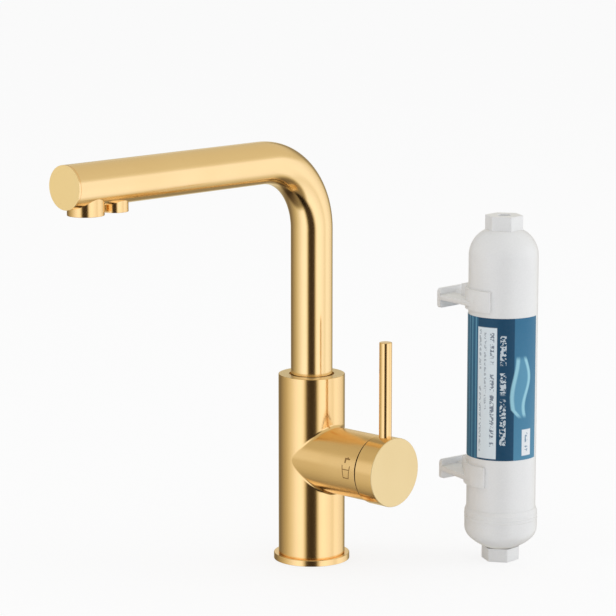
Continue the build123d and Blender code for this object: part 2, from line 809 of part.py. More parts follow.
with BuildPart() as filtered_inner_tube:
    with BuildLine():
        FilletPolyline(
            (0, 0, inner_tube_bottom_z),
            (0, 0, spout_z),
            (0, -filtered_reach, spout_z),
            (0, -filtered_reach, filtered_insert_top_z + seat_gap / 2),
            radius=[bend_r, inner_bend_r - seat_gap],
        )
    with BuildSketch(Plane.XY.offset(inner_tube_bottom_z)):
        Circle(inner_tube_r)
        Circle(inner_tube_r - inner_tube_wall, mode=Mode.SUBTRACT)
    sweep()
save(filtered_inner_tube, "filtered_inner_tube")

# ---------------------------------------------------------------- filter cartridge


def cartridge_dome(radius, round_r, bottom_z):
    """A solid round bar whose top is rounded over to a flat crown."""
    centre_x = radius - round_r
    sweep_deg = degrees(atan2(sqrt(round_r**2 - (crown_r - centre_x) ** 2), crown_r - centre_x))
    with BuildSketch(filter_section) as outline:
        with BuildLine():
            arc = CenterArc((centre_x, shoulder_z), round_r, 0, sweep_deg)
            crown = arc @ 1
            Polyline(crown, (0, crown.Y), (0, bottom_z), (radius, bottom_z), arc @ 0)
        make_face()
    return outline.sketch


def crown_radius(radius, depth, knuckle_r):
    """Radius of the ball that runs smoothly into a dished end's knuckle."""
    return ((radius - knuckle_r) ** 2 + depth**2 - knuckle_r**2) / (2 * (depth - knuckle_r))


def dished_end(radius, depth, knuckle_r, top_z):
    """A solid dished end that hangs from its rim, below a straight part up to the top."""
    crown = crown_radius(radius, depth, knuckle_r)
    lean = degrees(atan2(radius - knuckle_r, crown - depth))
    with BuildSketch(filter_section) as outline:
        with BuildLine():
            dish = CenterArc((0, end_dome_z + crown - depth), crown, -90, lean)
            knuckle_centre = (radius - knuckle_r, end_dome_z)
            knuckle = CenterArc(knuckle_centre, knuckle_r, lean - 90, 90 - lean)
            Polyline(knuckle @ 1, (radius, top_z), (0, top_z), dish @ 0)
        make_face()
    return outline.sketch


def port_block(bottom_z, height):
    """A hexagonal port block with rounded corners on the cartridge's axis."""
    with BuildSketch(filter_level(bottom_z)) as hexagon:
        RegularPolygon(port_flats / 2, 6, major_radius=False, rotation=port_turn)
        fillet(hexagon.vertices(), port_corner_r)
    extrude(hexagon.sketch, amount=height)


with BuildPart() as filter_shell:
    revolve(cartridge_dome(shell_r, shoulder_r, shell_bottom_z), axis=filter_axis)
    crown_z = shoulder_z + sqrt(shoulder_r**2 - (crown_r - shell_r + shoulder_r) ** 2)
    port_block(shoulder_z, filter_h - shoulder_z)
    hollow = cartridge_dome(shell_bore_r, shoulder_r - shell_wall, shell_bottom_z)
    revolve(hollow, axis=filter_axis, mode=Mode.SUBTRACT)
    # Boss that takes the block's outlet spigot
    boss_r = spigot_r + seat_gap + spigot_boss_wall
    rod(filter_level(spigot_boss_bottom_z), boss_r, crown_z - spigot_boss_bottom_z)
    spigot_depth = spigot_top_z + pass_gap - spigot_boss_bottom_z
    rod(filter_level(spigot_boss_bottom_z), spigot_r + seat_gap, spigot_depth, Mode.SUBTRACT)
    rod(filter_level(spigot_boss_bottom_z), through_hole_r, filter_h, Mode.SUBTRACT)
    port_floor_z = filter_h - port_hole_depth
    rod(filter_level(port_floor_z), port_hole_r, port_hole_depth, Mode.SUBTRACT)
save(filter_shell, "filter_shell")

inner_dome_h = end_dome_h - end_dome_wall
inner_knuckle_r = end_knuckle_r - end_dome_wall

with BuildPart() as filter_end_cap:
    bevel_z = end_cap_top_z - end_cap_bevel
    skirt_z = shell_bottom_z - seat_gap
    lip_r = shell_r + seat_gap
    revolve(dished_end(end_cap_r, end_dome_h, end_knuckle_r, skirt_z), axis=filter_axis)
    turn(
        (
            (end_cap_r, skirt_z),
            (end_cap_r, bevel_z),
            (lip_r + end_cap_lip_t, end_cap_top_z),
            (lip_r, end_cap_top_z),
            (lip_r, skirt_z),
        ),
        filter_section,
        filter_axis,
    )
    port_block(0, end_dome_z - end_dome_wall)
    hollow = dished_end(shell_bore_r, inner_dome_h, inner_knuckle_r, shell_bottom_z)
    revolve(hollow, axis=filter_axis, mode=Mode.SUBTRACT)
    rod(filter_level(0), through_hole_r, end_dome_z, Mode.SUBTRACT)
    rod(filter_level(0), port_hole_r, port_hole_depth, Mode.SUBTRACT)
save(filter_end_cap, "filter_end_cap")

with BuildPart() as filter_label:
    with BuildSketch(filter_level(label_bottom_z)):
        Circle(label_r)
        Circle(label_r - label_t, mode=Mode.SUBTRACT)
        with Locations(Rotation(0, 0, label_gap_turn)):
            wedge(label_gap_deg, 2 * label_r)
    extrude(amount=label_top_z - label_bottom_z)
save(filter_label, "filter_label")

with BuildPart() as carbon_block:
    block_h = block_top_z - block_bottom_z
    tube(filter_level(block_bottom_z), block_r, block_bore_r, block_h)
save(carbon_block, "carbon_block")

with BuildPart() as fleece_wrap:
    wrap_inner = block_r + seat_gap
    tube(filter_level(block_bottom_z), wrap_inner + wrap_t, wrap_inner, block_h)
save(fleece_wrap, "fleece_wrap")

inner_crown_r = crown_radius(shell_bore_r, inner_dome_h, inner_knuckle_r)
skirt_rise = inner_crown_r - sqrt(inner_crown_r**2 - skirt_r**2)
skirt_bottom_z = end_dome_z - inner_dome_h + skirt_rise + running_gap

with BuildPart() as block_end_plates:
    plate_z = block_bottom_z - seat_gap - plate_t
    rod(filter_level(plate_z), plate_r, plate_t)
    tube(filter_level(skirt_bottom_z), skirt_r, skirt_r - skirt_wall, plate_z - skirt_bottom_z)
    # Windows that let water out of the skirt and up round the block
    window_h = plate_t
    with BuildSketch(filter_level(plate_z - window_h)):
        Rectangle(3 * skirt_r, plate_t)
        Rectangle(plate_t, 3 * skirt_r)
    extrude(amount=window_h, mode=Mode.SUBTRACT)
    top_plate_z = block_top_z + seat_gap
    rod(filter_level(top_plate_z), plate_r, plate_t)
    rod(filter_level(top_plate_z), spigot_r, spigot_top_z - top_plate_z)
    seal_r = spigot_r - outlet_seal_w
    tube(filter_level(outlet_seal_z), spigot_r, seal_r, outlet_seal_w, Mode.SUBTRACT)
    rod(filter_level(top_plate_z), spigot_bore_r, spigot_top_z - top_plate_z, Mode.SUBTRACT)
save(block_end_plates, "block_end_plates")

with BuildPart() as outlet_port_seal:
    tube(
        filter_level(outlet_seal_z + seat_gap),
        spigot_r,
        seal_r + seat_gap,
        outlet_seal_w - 2 * seat_gap,
    )
save(outlet_port_seal, "outlet_port_seal")

with BuildPart() as inlet_pad:
    rod(filter_level(skirt_bottom_z + pad_t / 2), skirt_r - skirt_wall - seat_gap, pad_t)
save(inlet_pad, "inlet_pad")

# ---------------------------------------------------------------- mounting clips

# Where a line from the pad's corner touches the band's outer circle
corner_x = clip_pad_reach - clip_pad_t
corner_y = clip_pad_w / 2
corner_far = hypot(corner_x, corner_y)
touch_line = sqrt(corner_far**2 - clip_outer_r**2)
touch_deg = degrees(atan2(corner_y, corner_x) + atan2(touch_line, clip_outer_r))
touch = (-clip_outer_r * cos(radians(touch_deg)), clip_outer_r * sin(radians(touch_deg)))

for label, bottom_z, turned in (
    ("upper_clip", upper_clip_z, 0.0),
    ("lower_clip", lower_clip_z, lower_clip_turn),
):
    along = (cos(radians(turned)), sin(radians(turned)), 0)
    level = Plane(origin=(filter_x, filter_y, bottom_z), x_dir=along)
    pad_face = Plane(
        origin=level.from_local_coords((-clip_pad_reach, 0, clip_pad_h / 2 - clip_pad_drop)),
        x_dir=level.y_dir,
        z_dir=level.x_dir,
    )
    with BuildPart() as clip:
        with BuildSketch(level):
            Circle(clip_outer_r)
            with Locations((-(clip_saddle_reach + clip_bore_r) / 2, 0)):
                Rectangle(clip_saddle_reach - clip_bore_r, clip_saddle_w)
            wedge(clip_mouth_deg, 2 * clip_outer_r)
        extrude(amount=clip_h)
        # Flat web between the band and the foot pad
        with BuildSketch(level.offset(clip_web_z)):
            with BuildLine():
                Polyline(
                    (0, 0),
                    touch,
                    (-corner_x, corner_y),
                    (-corner_x, -corner_y),
                    (touch[0], -touch[1]),
                    close=True,
                )
            make_face()
        extrude(amount=clip_web_t)
        # Foot pad and the round boss for its screw
        with BuildSketch(pad_face):
            RectangleRounded(clip_pad_w, clip_pad_h, clip_pad_corner)
        extrude(amount=clip_pad_t)
        rod(pad_face, clip_boss_r, clip_pad_reach - clip_bore_r)
        rod(level, clip_bore_r, clip_h, Mode.SUBTRACT)
        rod(pad_face, clip_screw_r, clip_pad_reach, Mode.SUBTRACT)
        head_plane = pad_face.offset(clip_pad_reach - clip_bore_r - clip_head_depth)
        rod(head_plane, clip_head_r, clip_bore_r, Mode.SUBTRACT)
    save(clip, label)
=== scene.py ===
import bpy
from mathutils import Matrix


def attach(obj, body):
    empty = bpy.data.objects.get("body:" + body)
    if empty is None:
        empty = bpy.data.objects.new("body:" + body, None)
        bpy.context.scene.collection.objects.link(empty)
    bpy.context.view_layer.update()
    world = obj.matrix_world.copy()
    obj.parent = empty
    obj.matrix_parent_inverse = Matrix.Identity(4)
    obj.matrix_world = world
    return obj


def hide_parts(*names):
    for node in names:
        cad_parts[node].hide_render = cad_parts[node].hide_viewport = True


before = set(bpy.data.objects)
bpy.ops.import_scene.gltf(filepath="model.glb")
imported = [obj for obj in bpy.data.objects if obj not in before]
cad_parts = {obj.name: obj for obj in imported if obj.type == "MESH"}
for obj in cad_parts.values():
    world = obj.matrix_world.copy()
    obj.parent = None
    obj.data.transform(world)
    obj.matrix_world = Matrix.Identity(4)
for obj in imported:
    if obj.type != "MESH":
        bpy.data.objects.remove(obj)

"""Looks of the three-way filtered water tap and of the inline filter cartridge beside it.

Sizes are in millimetres until a mesh is made, which is in metres. The tap stands on the
origin, +Z is up, the spout points along -Y and the valve barrel along +X.
"""

import logging
import math
from dataclasses import dataclass
from enum import Enum
from typing import Any, Sequence, Union

import bpy
import numpy as np
from mathutils import Vector

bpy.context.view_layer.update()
MM = 0.001
log = logging.getLogger("tap")

Number = Union[int, float]
Value = Union["Wire", int, float]
Pair = tuple[float, float]
Colour = tuple[float, float, float]
Point = tuple[float, float, float]

# Sizes that several pieces share
BARREL_Z = 76.5
BARREL_R = 23.8
BARREL_END = 64.3
TILT_X = 40.0
SPOUT_Z = 294.0
SPOUT_R = 15.0
MIXED_REACH = 214.6
FILTERED_REACH = 188.6
CARTRIDGE_AT = (100.8, 93.3)
LABEL_LOW = 78.2
LABEL_HIGH = 181.5
SEAT_GAP = 0.03


# ---------------------------------------------------------------- shader maths


class Wire:
    """An output socket that Python's operators turn into Math nodes."""

    def __init__(self, board: "Board", socket: bpy.types.NodeSocket) -> None:
        """Keep the board that the nodes go on and the socket."""
        self.board = board
        self.socket = socket

    def _math(self, operation: str, *values: Value) -> "Wire":
        """Add one Math node.

        Args:
            operation: the Math node's operation.
            values: its inputs in order.

        Returns:
            The node's result.
        """
        inputs = dict(enumerate(values))
        return self.board.node("ShaderNodeMath", {"operation": operation}, inputs).out(0)

    def __add__(self, other: Value) -> "Wire":
        """Sum."""
        return self._math("ADD", self, other)

    __radd__ = __add__

    def __sub__(self, other: Value) -> "Wire":
        """Difference."""
        return self._math("SUBTRACT", self, other)

    def __rsub__(self, other: Number) -> "Wire":
        """Difference from a number."""
        return self._math("SUBTRACT", other, self)

    def __mul__(self, other: Value) -> "Wire":
        """Product."""
        return self._math("MULTIPLY", self, other)

    __rmul__ = __mul__

    def __truediv__(self, other: Value) -> "Wire":
        """Quotient."""
        return self._math("DIVIDE", self, other)

    def __neg__(self) -> "Wire":
        """Opposite."""
        return self._math("MULTIPLY", self, -1.0)

    def __abs__(self) -> "Wire":
        """Size without its sign."""
        return self._math("ABSOLUTE", self)

    def __mod__(self, step: Number) -> "Wire":
        """What is left over from whole steps."""
        return self._math("FLOORED_MODULO", self, step)

    def low(self, other: Value) -> "Wire":
        """The lesser of two."""
        return self._math("MINIMUM", self, other)

    def high(self, other: Value) -> "Wire":
        """The greater of two."""
        return self._math("MAXIMUM", self, other)

    def sine(self) -> "Wire":
        """Sine of an angle in radians."""
        return self._math("SINE", self)

    def turn_from(self, across: "Wire") -> "Wire":
        """Angle in degrees whose sine side is this and whose cosine side is across."""
        return self._math("ARCTAN2", self, across) * (180 / math.pi)

    def ramp(self, start: Number, end: Number) -> "Wire":
        """Smooth climb from 0 at start to 1 at end."""
        node = self.board.node(
            "ShaderNodeMapRange",
            {"interpolation_type": "SMOOTHSTEP"},
            {"Value": self, "From Min": start, "From Max": end},
        )
        return node.out("Result")

    def between(self, low: Number, high: Number, soft: Number) -> "Wire":
        """1 inside a span and 0 outside it, with soft edges."""
        inside = self.ramp(low - soft, low + soft)
        return inside * (1 - self.ramp(high - soft, high + soft))


@dataclass
class Made:
    """A node on a board."""

    board: "Board"
    node: bpy.types.Node

    def out(self, key: Union[int, str] = 0) -> Wire:
        """One of the node's outputs."""
        return Wire(self.board, self.node.outputs[key])


class Board:
    """The node tree of one material or world."""

    def __init__(self, tree: bpy.types.NodeTree) -> None:
        """Clear the tree and keep it."""
        tree.nodes.clear()
        self.tree = tree

    def node(
        self,
        kind: str,
        settings: Union[dict[str, Any], None] = None,
        inputs: Union[dict[Union[int, str], Any], None] = None,
    ) -> Made:
        """Add a node.

        Args:
            kind: the node's type.
            settings: properties set first; stops is a ramp's list of (place, colour).
            inputs: values or wires by the input's name or number.

        Returns:
            The node on its board.
        """
        made = self.tree.nodes.new(kind)
        for name, value in (settings or {}).items():
            if name == "stops":
                self._set_stops(made.color_ramp, value)
            else:
                setattr(made, name, value)
        for key, value in (inputs or {}).items():
            if isinstance(value, Wire):
                self.tree.links.new(value.socket, made.inputs[key])
            else:
                made.inputs[key].default_value = value
        return Made(self, made)

    def _set_stops(self, ramp: bpy.types.ColorRamp, stops: Sequence[tuple]) -> None:
        """Give a colour ramp its stops.

        Args:
            ramp: the ramp.
            stops: place and colour of each, a number standing for a grey.
        """
        while len(ramp.elements) < len(stops):
            ramp.elements.new(1.0)
        for element, (place, _) in zip(ramp.elements, stops):
            element.position = place
        for element, (_, colour) in zip(ramp.elements, stops):
            grey = isinstance(colour, (int, float))
            element.color = (*((colour,) * 3 if grey else colour), 1.0)

    def place(self) -> tuple[Wire, Wire, Wire]:
        """Coordinates on the piece in millimetres, the same in every pose."""
        on_piece = self.node("ShaderNodeTexCoord").out("Object")
        return tuple(part * (1 / MM) for part in self.split(on_piece))

    def split(self, vector: Wire) -> tuple[Wire, Wire, Wire]:
        """The three parts of a vector."""
        parts = self.node("ShaderNodeSeparateXYZ", None, {0: vector})
        return tuple(parts.out(i) for i in range(3))

    def vector(self, x: Any, y: Any, z: Any) -> Wire:
        """Three values as one vector."""
        return self.node("ShaderNodeCombineXYZ", None, {0: x, 1: y, 2: z}).out(0)

    def noise(self, at: Wire, scale: float, detail: float = 3.0, rough: float = 0.5) -> Wire:
        """Soft noise between 0 and 1 round one half."""
        made = self.node(
            "ShaderNodeTexNoise",
            None,
            {"Vector": at, "Scale": scale, "Detail": detail, "Roughness": rough},
        )
        return made.out(0)

    def blend(self, mask: Wire, first: Any, second: Any) -> Wire:
        """Mix two colours.

        Args:
            mask: 0 gives the first colour and 1 the second.
            first: a colour or a wire of one.
            second: a colour or a wire of one.

        Returns:
            The mixed colour.
        """
        colours = [c if isinstance(c, Wire) else (*c, 1.0) for c in (first, second)]
        made = self.node(
            "ShaderNodeMix", {"data_type": "RGBA"}, {0: mask, 6: colours[0], 7: colours[1]}
        )
        return made.out(2)

    def bump(self, height: Wire, distance: float, strength: float = 1.0) -> Wire:
        """A normal from a height between 0 and 1, distance in millimetres."""
        inputs = {"Height": height, "Distance": distance * MM, "Strength": strength}
        return self.node("ShaderNodeBump", None, inputs).out(0)


# ---------------------------------------------------------------- finishes


class Grain(Enum):
    """Which way fine tool marks run, as noise cells per millimetre along X, Y and Z."""

    ROUND_Z = (0.05, 0.05, 6.0)
    ROUND_X = (6.0, 0.05, 0.05)
    ROUND_Y = (0.05, 6.0, 0.05)
    NONE = (2.0, 2.0, 2.0)


@dataclass(frozen=True)
class Finish:
    """What all finishes share: a name and the making of the material."""

    name: str

    def material(self) -> bpy.types.Material:
        """Make the finish's material, or find it where it is made already.

        Returns:
            The material.
        """
        found = bpy.data.materials.get(self.name)
        if found is not None:
            return found
        made = bpy.data.materials.new(self.name)
        made.use_nodes = True
        board = Board(made.node_tree)
        surface = board.node("ShaderNodeBsdfPrincipled", None, self.sockets(board))
        board.node("ShaderNodeOutputMaterial", None, {"Surface": surface.out("BSDF")})
        return made

    def sockets(self, board: Board) -> dict[str, Any]:
        """Values and wires of the shader's sockets."""
        raise NotImplementedError


@dataclass(frozen=True)
class Gold(Finish):
    """Satin gold coating over fine brush lines."""

    tint: Colour = (0.99, 0.70, 0.35)
    shade: Colour = (0.95, 0.65, 0.30)
    roughness: float = 0.16
    metallic: float = 1.0
    grain: Grain = Grain.ROUND_Z
    coat: float = 0.3
    coat_rough: float = 0.12
    cloud_cells: float = 0.03
    line_rough: float = 0.06
    cloud_rough: float = 0.04
    line_relief: float = 0.004

    def sockets(self, board: Board) -> dict[str, Any]:
        """Warm metal whose brush lines vary its roughness and tilt its surface a little.

        Args:
            board: the board that the nodes go on.

        Returns:
            Values and wires by the socket's name.
        """
        x, y, z = board.place()
        stretched = (part * cells for part, cells in zip((x, y, z), self.grain.value))
        lines = board.noise(board.vector(*stretched), 1.0, 4.0, 0.6)
        cloud = board.noise(board.vector(x, y, z), self.cloud_cells, 2.0)
        patina = (lines * 0.35 + cloud * 0.65).ramp(0.25, 0.75)
        middle = self.roughness - (self.line_rough + self.cloud_rough) / 2
        return {
            "Base Color": board.blend(patina * 0.55, self.tint, self.shade),
            "Metallic": self.metallic,
            "Roughness": lines * self.line_rough + (cloud * self.cloud_rough + middle),
            "Coat Weight": self.coat,
            "Coat Roughness": self.coat_rough,
            "Normal": board.bump(lines, self.line_relief, 0.35),
        }


@dataclass(frozen=True)
class MarkedGold(Gold):
    """The body's gold with two small engraved signs near the barrel's end."""

    tap_at: Pair = (56.3, 8.7)
    glass_at: Pair = (56.0, 0.2)
    axis_z: float = BARREL_Z
    barrel_r: float = BARREL_R
    barrel_rough: float = 0.10
    barrel_from: Pair = (26.0, 36.0)
    signs_from: Pair = (40.0, 42.0)
    cut_colour: Colour = (0.30, 0.16, 0.05)
    soft: float = 0.15

    def sockets(self, board: Board) -> dict[str, Any]:
        """The gold with a tap sign and a glass sign cut into its surface.

        Args:
            board: the board that the nodes go on.

        Returns:
            Values and wires by the socket's name.
        """
        found = super().sockets(board)
        x, y, z = board.place()
        round_up = (z - self.axis_z).turn_from(-y) * (math.pi / 180 * self.barrel_r)
        tap = self._tap(x - self.tap_at[0], round_up - self.tap_at[1])
        glass = self._glass(x - self.glass_at[0], round_up - self.glass_at[1])
        mask = (tap + glass).low(1) * x.ramp(*self.signs_from)
        barrel = x.ramp(*self.barrel_from) * self.barrel_rough
        found["Base Color"] = board.blend(mask * 0.85, found["Base Color"], self.cut_colour)
        found["Roughness"] = found["Roughness"] + mask * 0.3 + barrel
        return found

    def _tap(self, across: Wire, up: Wire) -> Wire:
        """A small tap: its upright mouth, its level pipe and the knob on it.

        Args:
            across: millimetres along the barrel from the sign's middle.
            up: millimetres round the barrel from the sign's middle.

        Returns:
            1 on a stroke and 0 beside it.
        """
        mouth = across.between(-2.3, -0.9, self.soft) * up.between(-2.1, 1.6, self.soft)
        pipe = across.between(-2.3, 2.5, self.soft) * up.between(0.5, 1.6, self.soft)
        knob = across.between(-0.2, 0.9, self.soft) * up.between(1.6, 2.3, self.soft)
        return (mouth + pipe + knob).low(1)

    def _glass(self, across: Wire, up: Wire) -> Wire:
        """A drinking glass: two sides that lean out, a foot and the water's line.

        Args:
            across: millimetres along the barrel from the sign's middle.
            up: millimetres round the barrel from the sign's middle.

        Returns:
            1 on a stroke and 0 beside it.
        """
        off = abs(across)
        lean = 2.4 + (up + 4.6) * 0.13
        sides = abs(off - lean).between(-0.4, 0.4, 0.12) * up.between(-4.8, 4.8, self.soft)
        foot = up.between(-4.8, -4.0, self.soft) * (1 - off.ramp(2.4, 2.7))
        water = up.between(1.4, 2.1, self.soft) * (1 - off.ramp(3.1, 3.4))
        return (sides + foot + water).low(1)


@dataclass(frozen=True)
class Plain(Finish):
    """A finish of one colour with its own fine unevenness."""

    colour: Colour = (0.8, 0.8, 0.8)
    second: Colour = (0.7, 0.7, 0.7)
    roughness: float = 0.4
    metallic: float = 0.0
    spot_mm: float = 2.0
    relief_mm: float = 0.02
    uneven: float = 0.08
    coat: float = 0.0

    def sockets(self, board: Board) -> dict[str, Any]:
        """Two near colours, an uneven roughness and a shallow relief.

        Args:
            board: the board that the nodes go on.

        Returns:
            Values and wires by the socket's name.
        """
        x, y, z = board.place()
        at = board.vector(x, y, z)
        fine = board.noise(at, 1 / self.spot_mm, 4.0, 0.6)
        broad = board.noise(at, 0.04, 2.0)
        mask = (fine * 0.6 + broad * 0.4).ramp(0.3, 0.7)
        return {
            "Base Color": board.blend(mask, self.colour, self.second),
            "Metallic": self.metallic,
            "Roughness": fine * self.uneven + (self.roughness - self.uneven / 2),
            "Coat Weight": self.coat,
            "Normal": board.bump(fine, self.relief_mm),
        }


@dataclass(frozen=True)
class Lathed(Plain):
    """A turned metal with rings left by the tool."""

    pitch_mm: float = 0.6

    def sockets(self, board: Board) -> dict[str, Any]:
        """The plain finish with close turning rings round the piece's upright axis.

        Args:
            board: the board that the nodes go on.

        Returns:
            Values and wires by the socket's name.
        """
        found = super().sockets(board)
        z = board.place()[2]
        rings = (z * (2 * math.pi / self.pitch_mm)).sine() * 0.5 + 0.5
        found["Roughness"] = found["Roughness"] + rings * 0.06
        found["Normal"] = board.bump(rings, self.relief_mm, 0.5)
        return found


@dataclass(frozen=True)
class Fibres(Plain):
    """Pressed fibres, as in a fleece."""

    def sockets(self, board: Board) -> dict[str, Any]:
        """The plain finish with crossing strands.

        Args:
            board: the board that the nodes go on.

        Returns:
            Values and wires by the socket's name.
        """
        found = super().sockets(board)
        x, y, z = board.place()
        strands = board.noise(board.vector(x * 4, y * 4, z * 0.5), 1.0, 5.0, 0.7)
        found["Normal"] = board.bump(strands, self.relief_mm)
        return found


@dataclass(frozen=True)
class LabelArea:
    """A straight-edged part of the label.

    Angles are in degrees from the label's front, and heights are shares of its height.
    """

    turns: Pair
    rise: Pair
    soft: float = 0.5

    def mask(self, seen: Wire, height: Wire) -> Wire:
        """1 inside and 0 outside."""
        return seen.between(*self.turns, self.soft) * height.between(*self.rise, 0.004)


@dataclass(frozen=True)
class PrintColumn(LabelArea):
    """A column of small marks that stand for print, without letters."""

    marks: float = 80.0

    def mask(self, seen: Wire, height: Wire) -> Wire:
        """Break the column into words, and the words into marks.

        Args:
            seen: angle round the cartridge from the front.
            height: height on the label from 0 to 1.

        Returns:
            1 on a mark and 0 beside it.
        """
        board, low = seen.board, self.turns[0]
        marks = board.noise(board.vector(seen * 0.25, height * self.marks, low), 1.0, 1.0)
        words = board.noise(board.vector(0.5, height * (self.marks / 7), low), 1.0, 0.0)
        return super().mask(seen, height) * marks.ramp(0.48, 0.56) * words.ramp(0.30, 0.34)


@dataclass(frozen=True)
class WaveEdge:
    """One edge of the label's wave, which swings to both sides as it climbs."""

    middle: float
    swing: float
    level: float
    pitch: float

    def turn(self, height: Wire) -> Wire:
        """Its angle at a height."""
        climb = (height - self.level) * (2 * math.pi / self.pitch)
        return climb.sine() * self.swing + self.middle


@dataclass(frozen=True)
class PrintedFilm(Finish):
    """The cartridge's wrap label with its bands, panel and wave."""

    axis: Pair = CARTRIDGE_AT
    low: float = LABEL_LOW
    high: float = LABEL_HIGH
    front: float = -46.0
    navy: Colour = (0.006, 0.062, 0.135)
    blue: Colour = (0.035, 0.165, 0.300)
    sky: Colour = (0.16, 0.42, 0.60)
    pale: Colour = (0.74, 0.82, 0.88)
    ink: Colour = (0.22, 0.26, 0.32)
    aqua: Colour = (0.36, 0.68, 0.80)
    worn: Colour = (0.5, 0.55, 0.6)
    box_colour: Colour = (0.80, 0.84, 0.88)
    stripe_pitch: float = 9.5
    panel: LabelArea = LabelArea((-47.5, -13.0), (0.012, 0.935))
    data: tuple[PrintColumn, ...] = (
        PrintColumn((-44.5, -40.5), (0.06, 0.92)),
        PrintColumn((-35.0, -31.0), (0.36, 0.90), marks=70.0),
        PrintColumn((-24.5, -17.5), (0.10, 0.90), marks=90.0),
    )
    title: PrintColumn = PrintColumn((-7.5, 2.5), (0.11, 0.88), marks=75.0)
    box: LabelArea = LabelArea((31.0, 50.0), (0.03, 0.215), 0.6)
    box_print: PrintColumn = PrintColumn((37.0, 43.0), (0.06, 0.19))
    wave_left: WaveEdge = WaveEdge(15.0, 5.0, 0.58, 0.55)
    wave_right: WaveEdge = WaveEdge(41.0, 6.0, 0.48, 0.42)
    wave_rise: Pair = (0.31, 0.72)
    tail_from: float = 0.36
    tail_slope: float = 150.0

    def sockets(self, board: Board) -> dict[str, Any]:
        """Colours by the angle round the cartridge and by height.

        Args:
            board: the board that the nodes go on.

        Returns:
            Values and wires by the socket's name.
        """
        x, y, z = board.place()
        turn = (y - self.axis[1]).turn_from(x - self.axis[0])
        seen = (turn + (180 - self.front)) % 360 - 180
        height = (z - self.low) / (self.high - self.low)
        colour = self._bands(board, seen, height)
        for layer in (self._stripes, self._panel, self._front):
            colour = layer(colour, seen, height)
        wear = board.noise(board.vector(x, y, z), 0.5, 3.0)
        gloss = board.noise(board.vector(x, y, z), 0.06, 2.0)
        return {
            "Base Color": board.blend(wear * 0.03, colour, self.worn),
            "Roughness": wear * 0.06 + (gloss * 0.08 + 0.32),
            "Specular IOR Level": 0.2,
            "Normal": board.bump(gloss, 0.08, 0.4),
        }

    def _bands(self, board: Board, seen: Wire, height: Wire) -> Wire:
        """The upright bands of ground colour, left to right.

        Args:
            board: the board that the nodes go on.
            seen: angle round the cartridge from the front.
            height: height on the label from 0 to 1.

        Returns:
            The ground's colour.
        """
        right = seen.ramp(15, 17)
        back = abs(seen).ramp(118, 122)
        front = board.blend(right, self.navy, self.blue)
        fade = board.blend((1 - height) * 0.35, front, self.sky)
        return board.blend(back, board.blend(right, front, fade), self.blue)

    def _stripes(self, ground: Wire, seen: Wire, height: Wire) -> Wire:
        """Thin light lines that run down the blue left part.

        Args:
            ground: the colour under them.
            seen: angle round the cartridge from the front.
            height: height on the label from 0 to 1.

        Returns:
            The colour with the lines on it.
        """
        board = ground.board
        part = seen.between(-118, -47, 0.5)
        off = abs(seen % self.stripe_pitch - self.stripe_pitch / 2)
        lines = (1 - off.ramp(0.8, 2.2)) * part
        under = board.blend(part * 0.6, ground, self.blue)
        return board.blend(lines * (height * 0.3 + 0.35), under, self.sky)

    def _panel(self, ground: Wire, seen: Wire, height: Wire) -> Wire:
        """A pale panel with columns of dark marks in place of its data.

        Args:
            ground: the colour under it.
            seen: angle round the cartridge from the front.
            height: height on the label from 0 to 1.

        Returns:
            The colour with the panel on it.
        """
        board = ground.board
        left, middle, bold = (column.mask(seen, height) for column in self.data)
        ink = (left * 0.6 + middle * 0.6 + bold).low(1)
        printed = board.blend(ink, self.pale, self.ink)
        return board.blend(self.panel.mask(seen, height), ground, printed)

    def _front(self, ground: Wire, seen: Wire, height: Wire) -> Wire:
        """A column of pale marks, a pale-edged wave on the right part and a box at its foot.

        Args:
            ground: the colour under them.
            seen: angle round the cartridge from the front.
            height: height on the label from 0 to 1.

        Returns:
            The label's whole colour.
        """
        board = ground.board
        colour = board.blend(self.title.mask(seen, height) * 0.8, ground, self.pale)
        tail = (self.tail_from - height).high(0) * self.tail_slope
        left = seen - (self.wave_left.turn(height) + tail)
        right = seen - self.wave_right.turn(height)
        tall = height.between(*self.wave_rise, 0.02)
        inside = left.ramp(-1, 1) * (1 - right.ramp(-1, 1)) * tall
        edges = (abs(left - 2.5).ramp(5, 1.5) + abs(right + 2).ramp(4.5, 1.5)) * tall
        colour = board.blend(inside * 0.5, colour, self.sky)
        colour = board.blend(edges.low(1) * 0.85, colour, self.aqua)
        colour = board.blend(self.box.mask(seen, height), colour, self.box_colour)
        return board.blend(self.box_print.mask(seen, height) * 0.8, colour, self.blue)


GOLD_BODY = MarkedGold("brushed_gold_body", grain=Grain.ROUND_Z)
GOLD_Z = Gold("brushed_gold_upright", grain=Grain.ROUND_Z)
GOLD_X = Gold("brushed_gold_barrel", grain=Grain.ROUND_X)
GOLD_Y = Gold("brushed_gold_spout", (0.99, 0.73, 0.39), (0.95, 0.68, 0.34), grain=Grain.ROUND_Y)
GOLD_FACE = Gold(
    "brushed_gold_face", (0.86, 0.68, 0.37), (0.83, 0.64, 0.33), 0.34, 0.75, Grain.NONE, 0.1
)
GOLD_END = Gold(
    "brushed_gold_end", (1.0, 0.745, 0.34), (0.99, 0.73, 0.32), 0.34, 0.2, Grain.NONE, 0.1
)
# Near-black gold for the faces inside the seam between barrel and cap: painted shade that stands
# in for the dark of the narrow gap.
GOLD_PAINTED_GAP_SHADE = Gold(
    "gold_painted_gap_shade", (0.10, 0.055, 0.022), (0.07, 0.04, 0.016), 0.5, 1.0, Grain.NONE, 0.0
)
RAW_BRASS = Lathed("raw_brass_turned", (0.72, 0.52, 0.22), (0.60, 0.42, 0.17), 0.32, 1.0)
STEEL = Lathed("steel_turned", (0.62, 0.62, 0.61), (0.50, 0.50, 0.50), 0.28, 1.0)
RUBBER = Plain("seal_rubber_matt", (0.025, 0.025, 0.026), (0.04, 0.04, 0.04), 0.65, spot_mm=0.6)
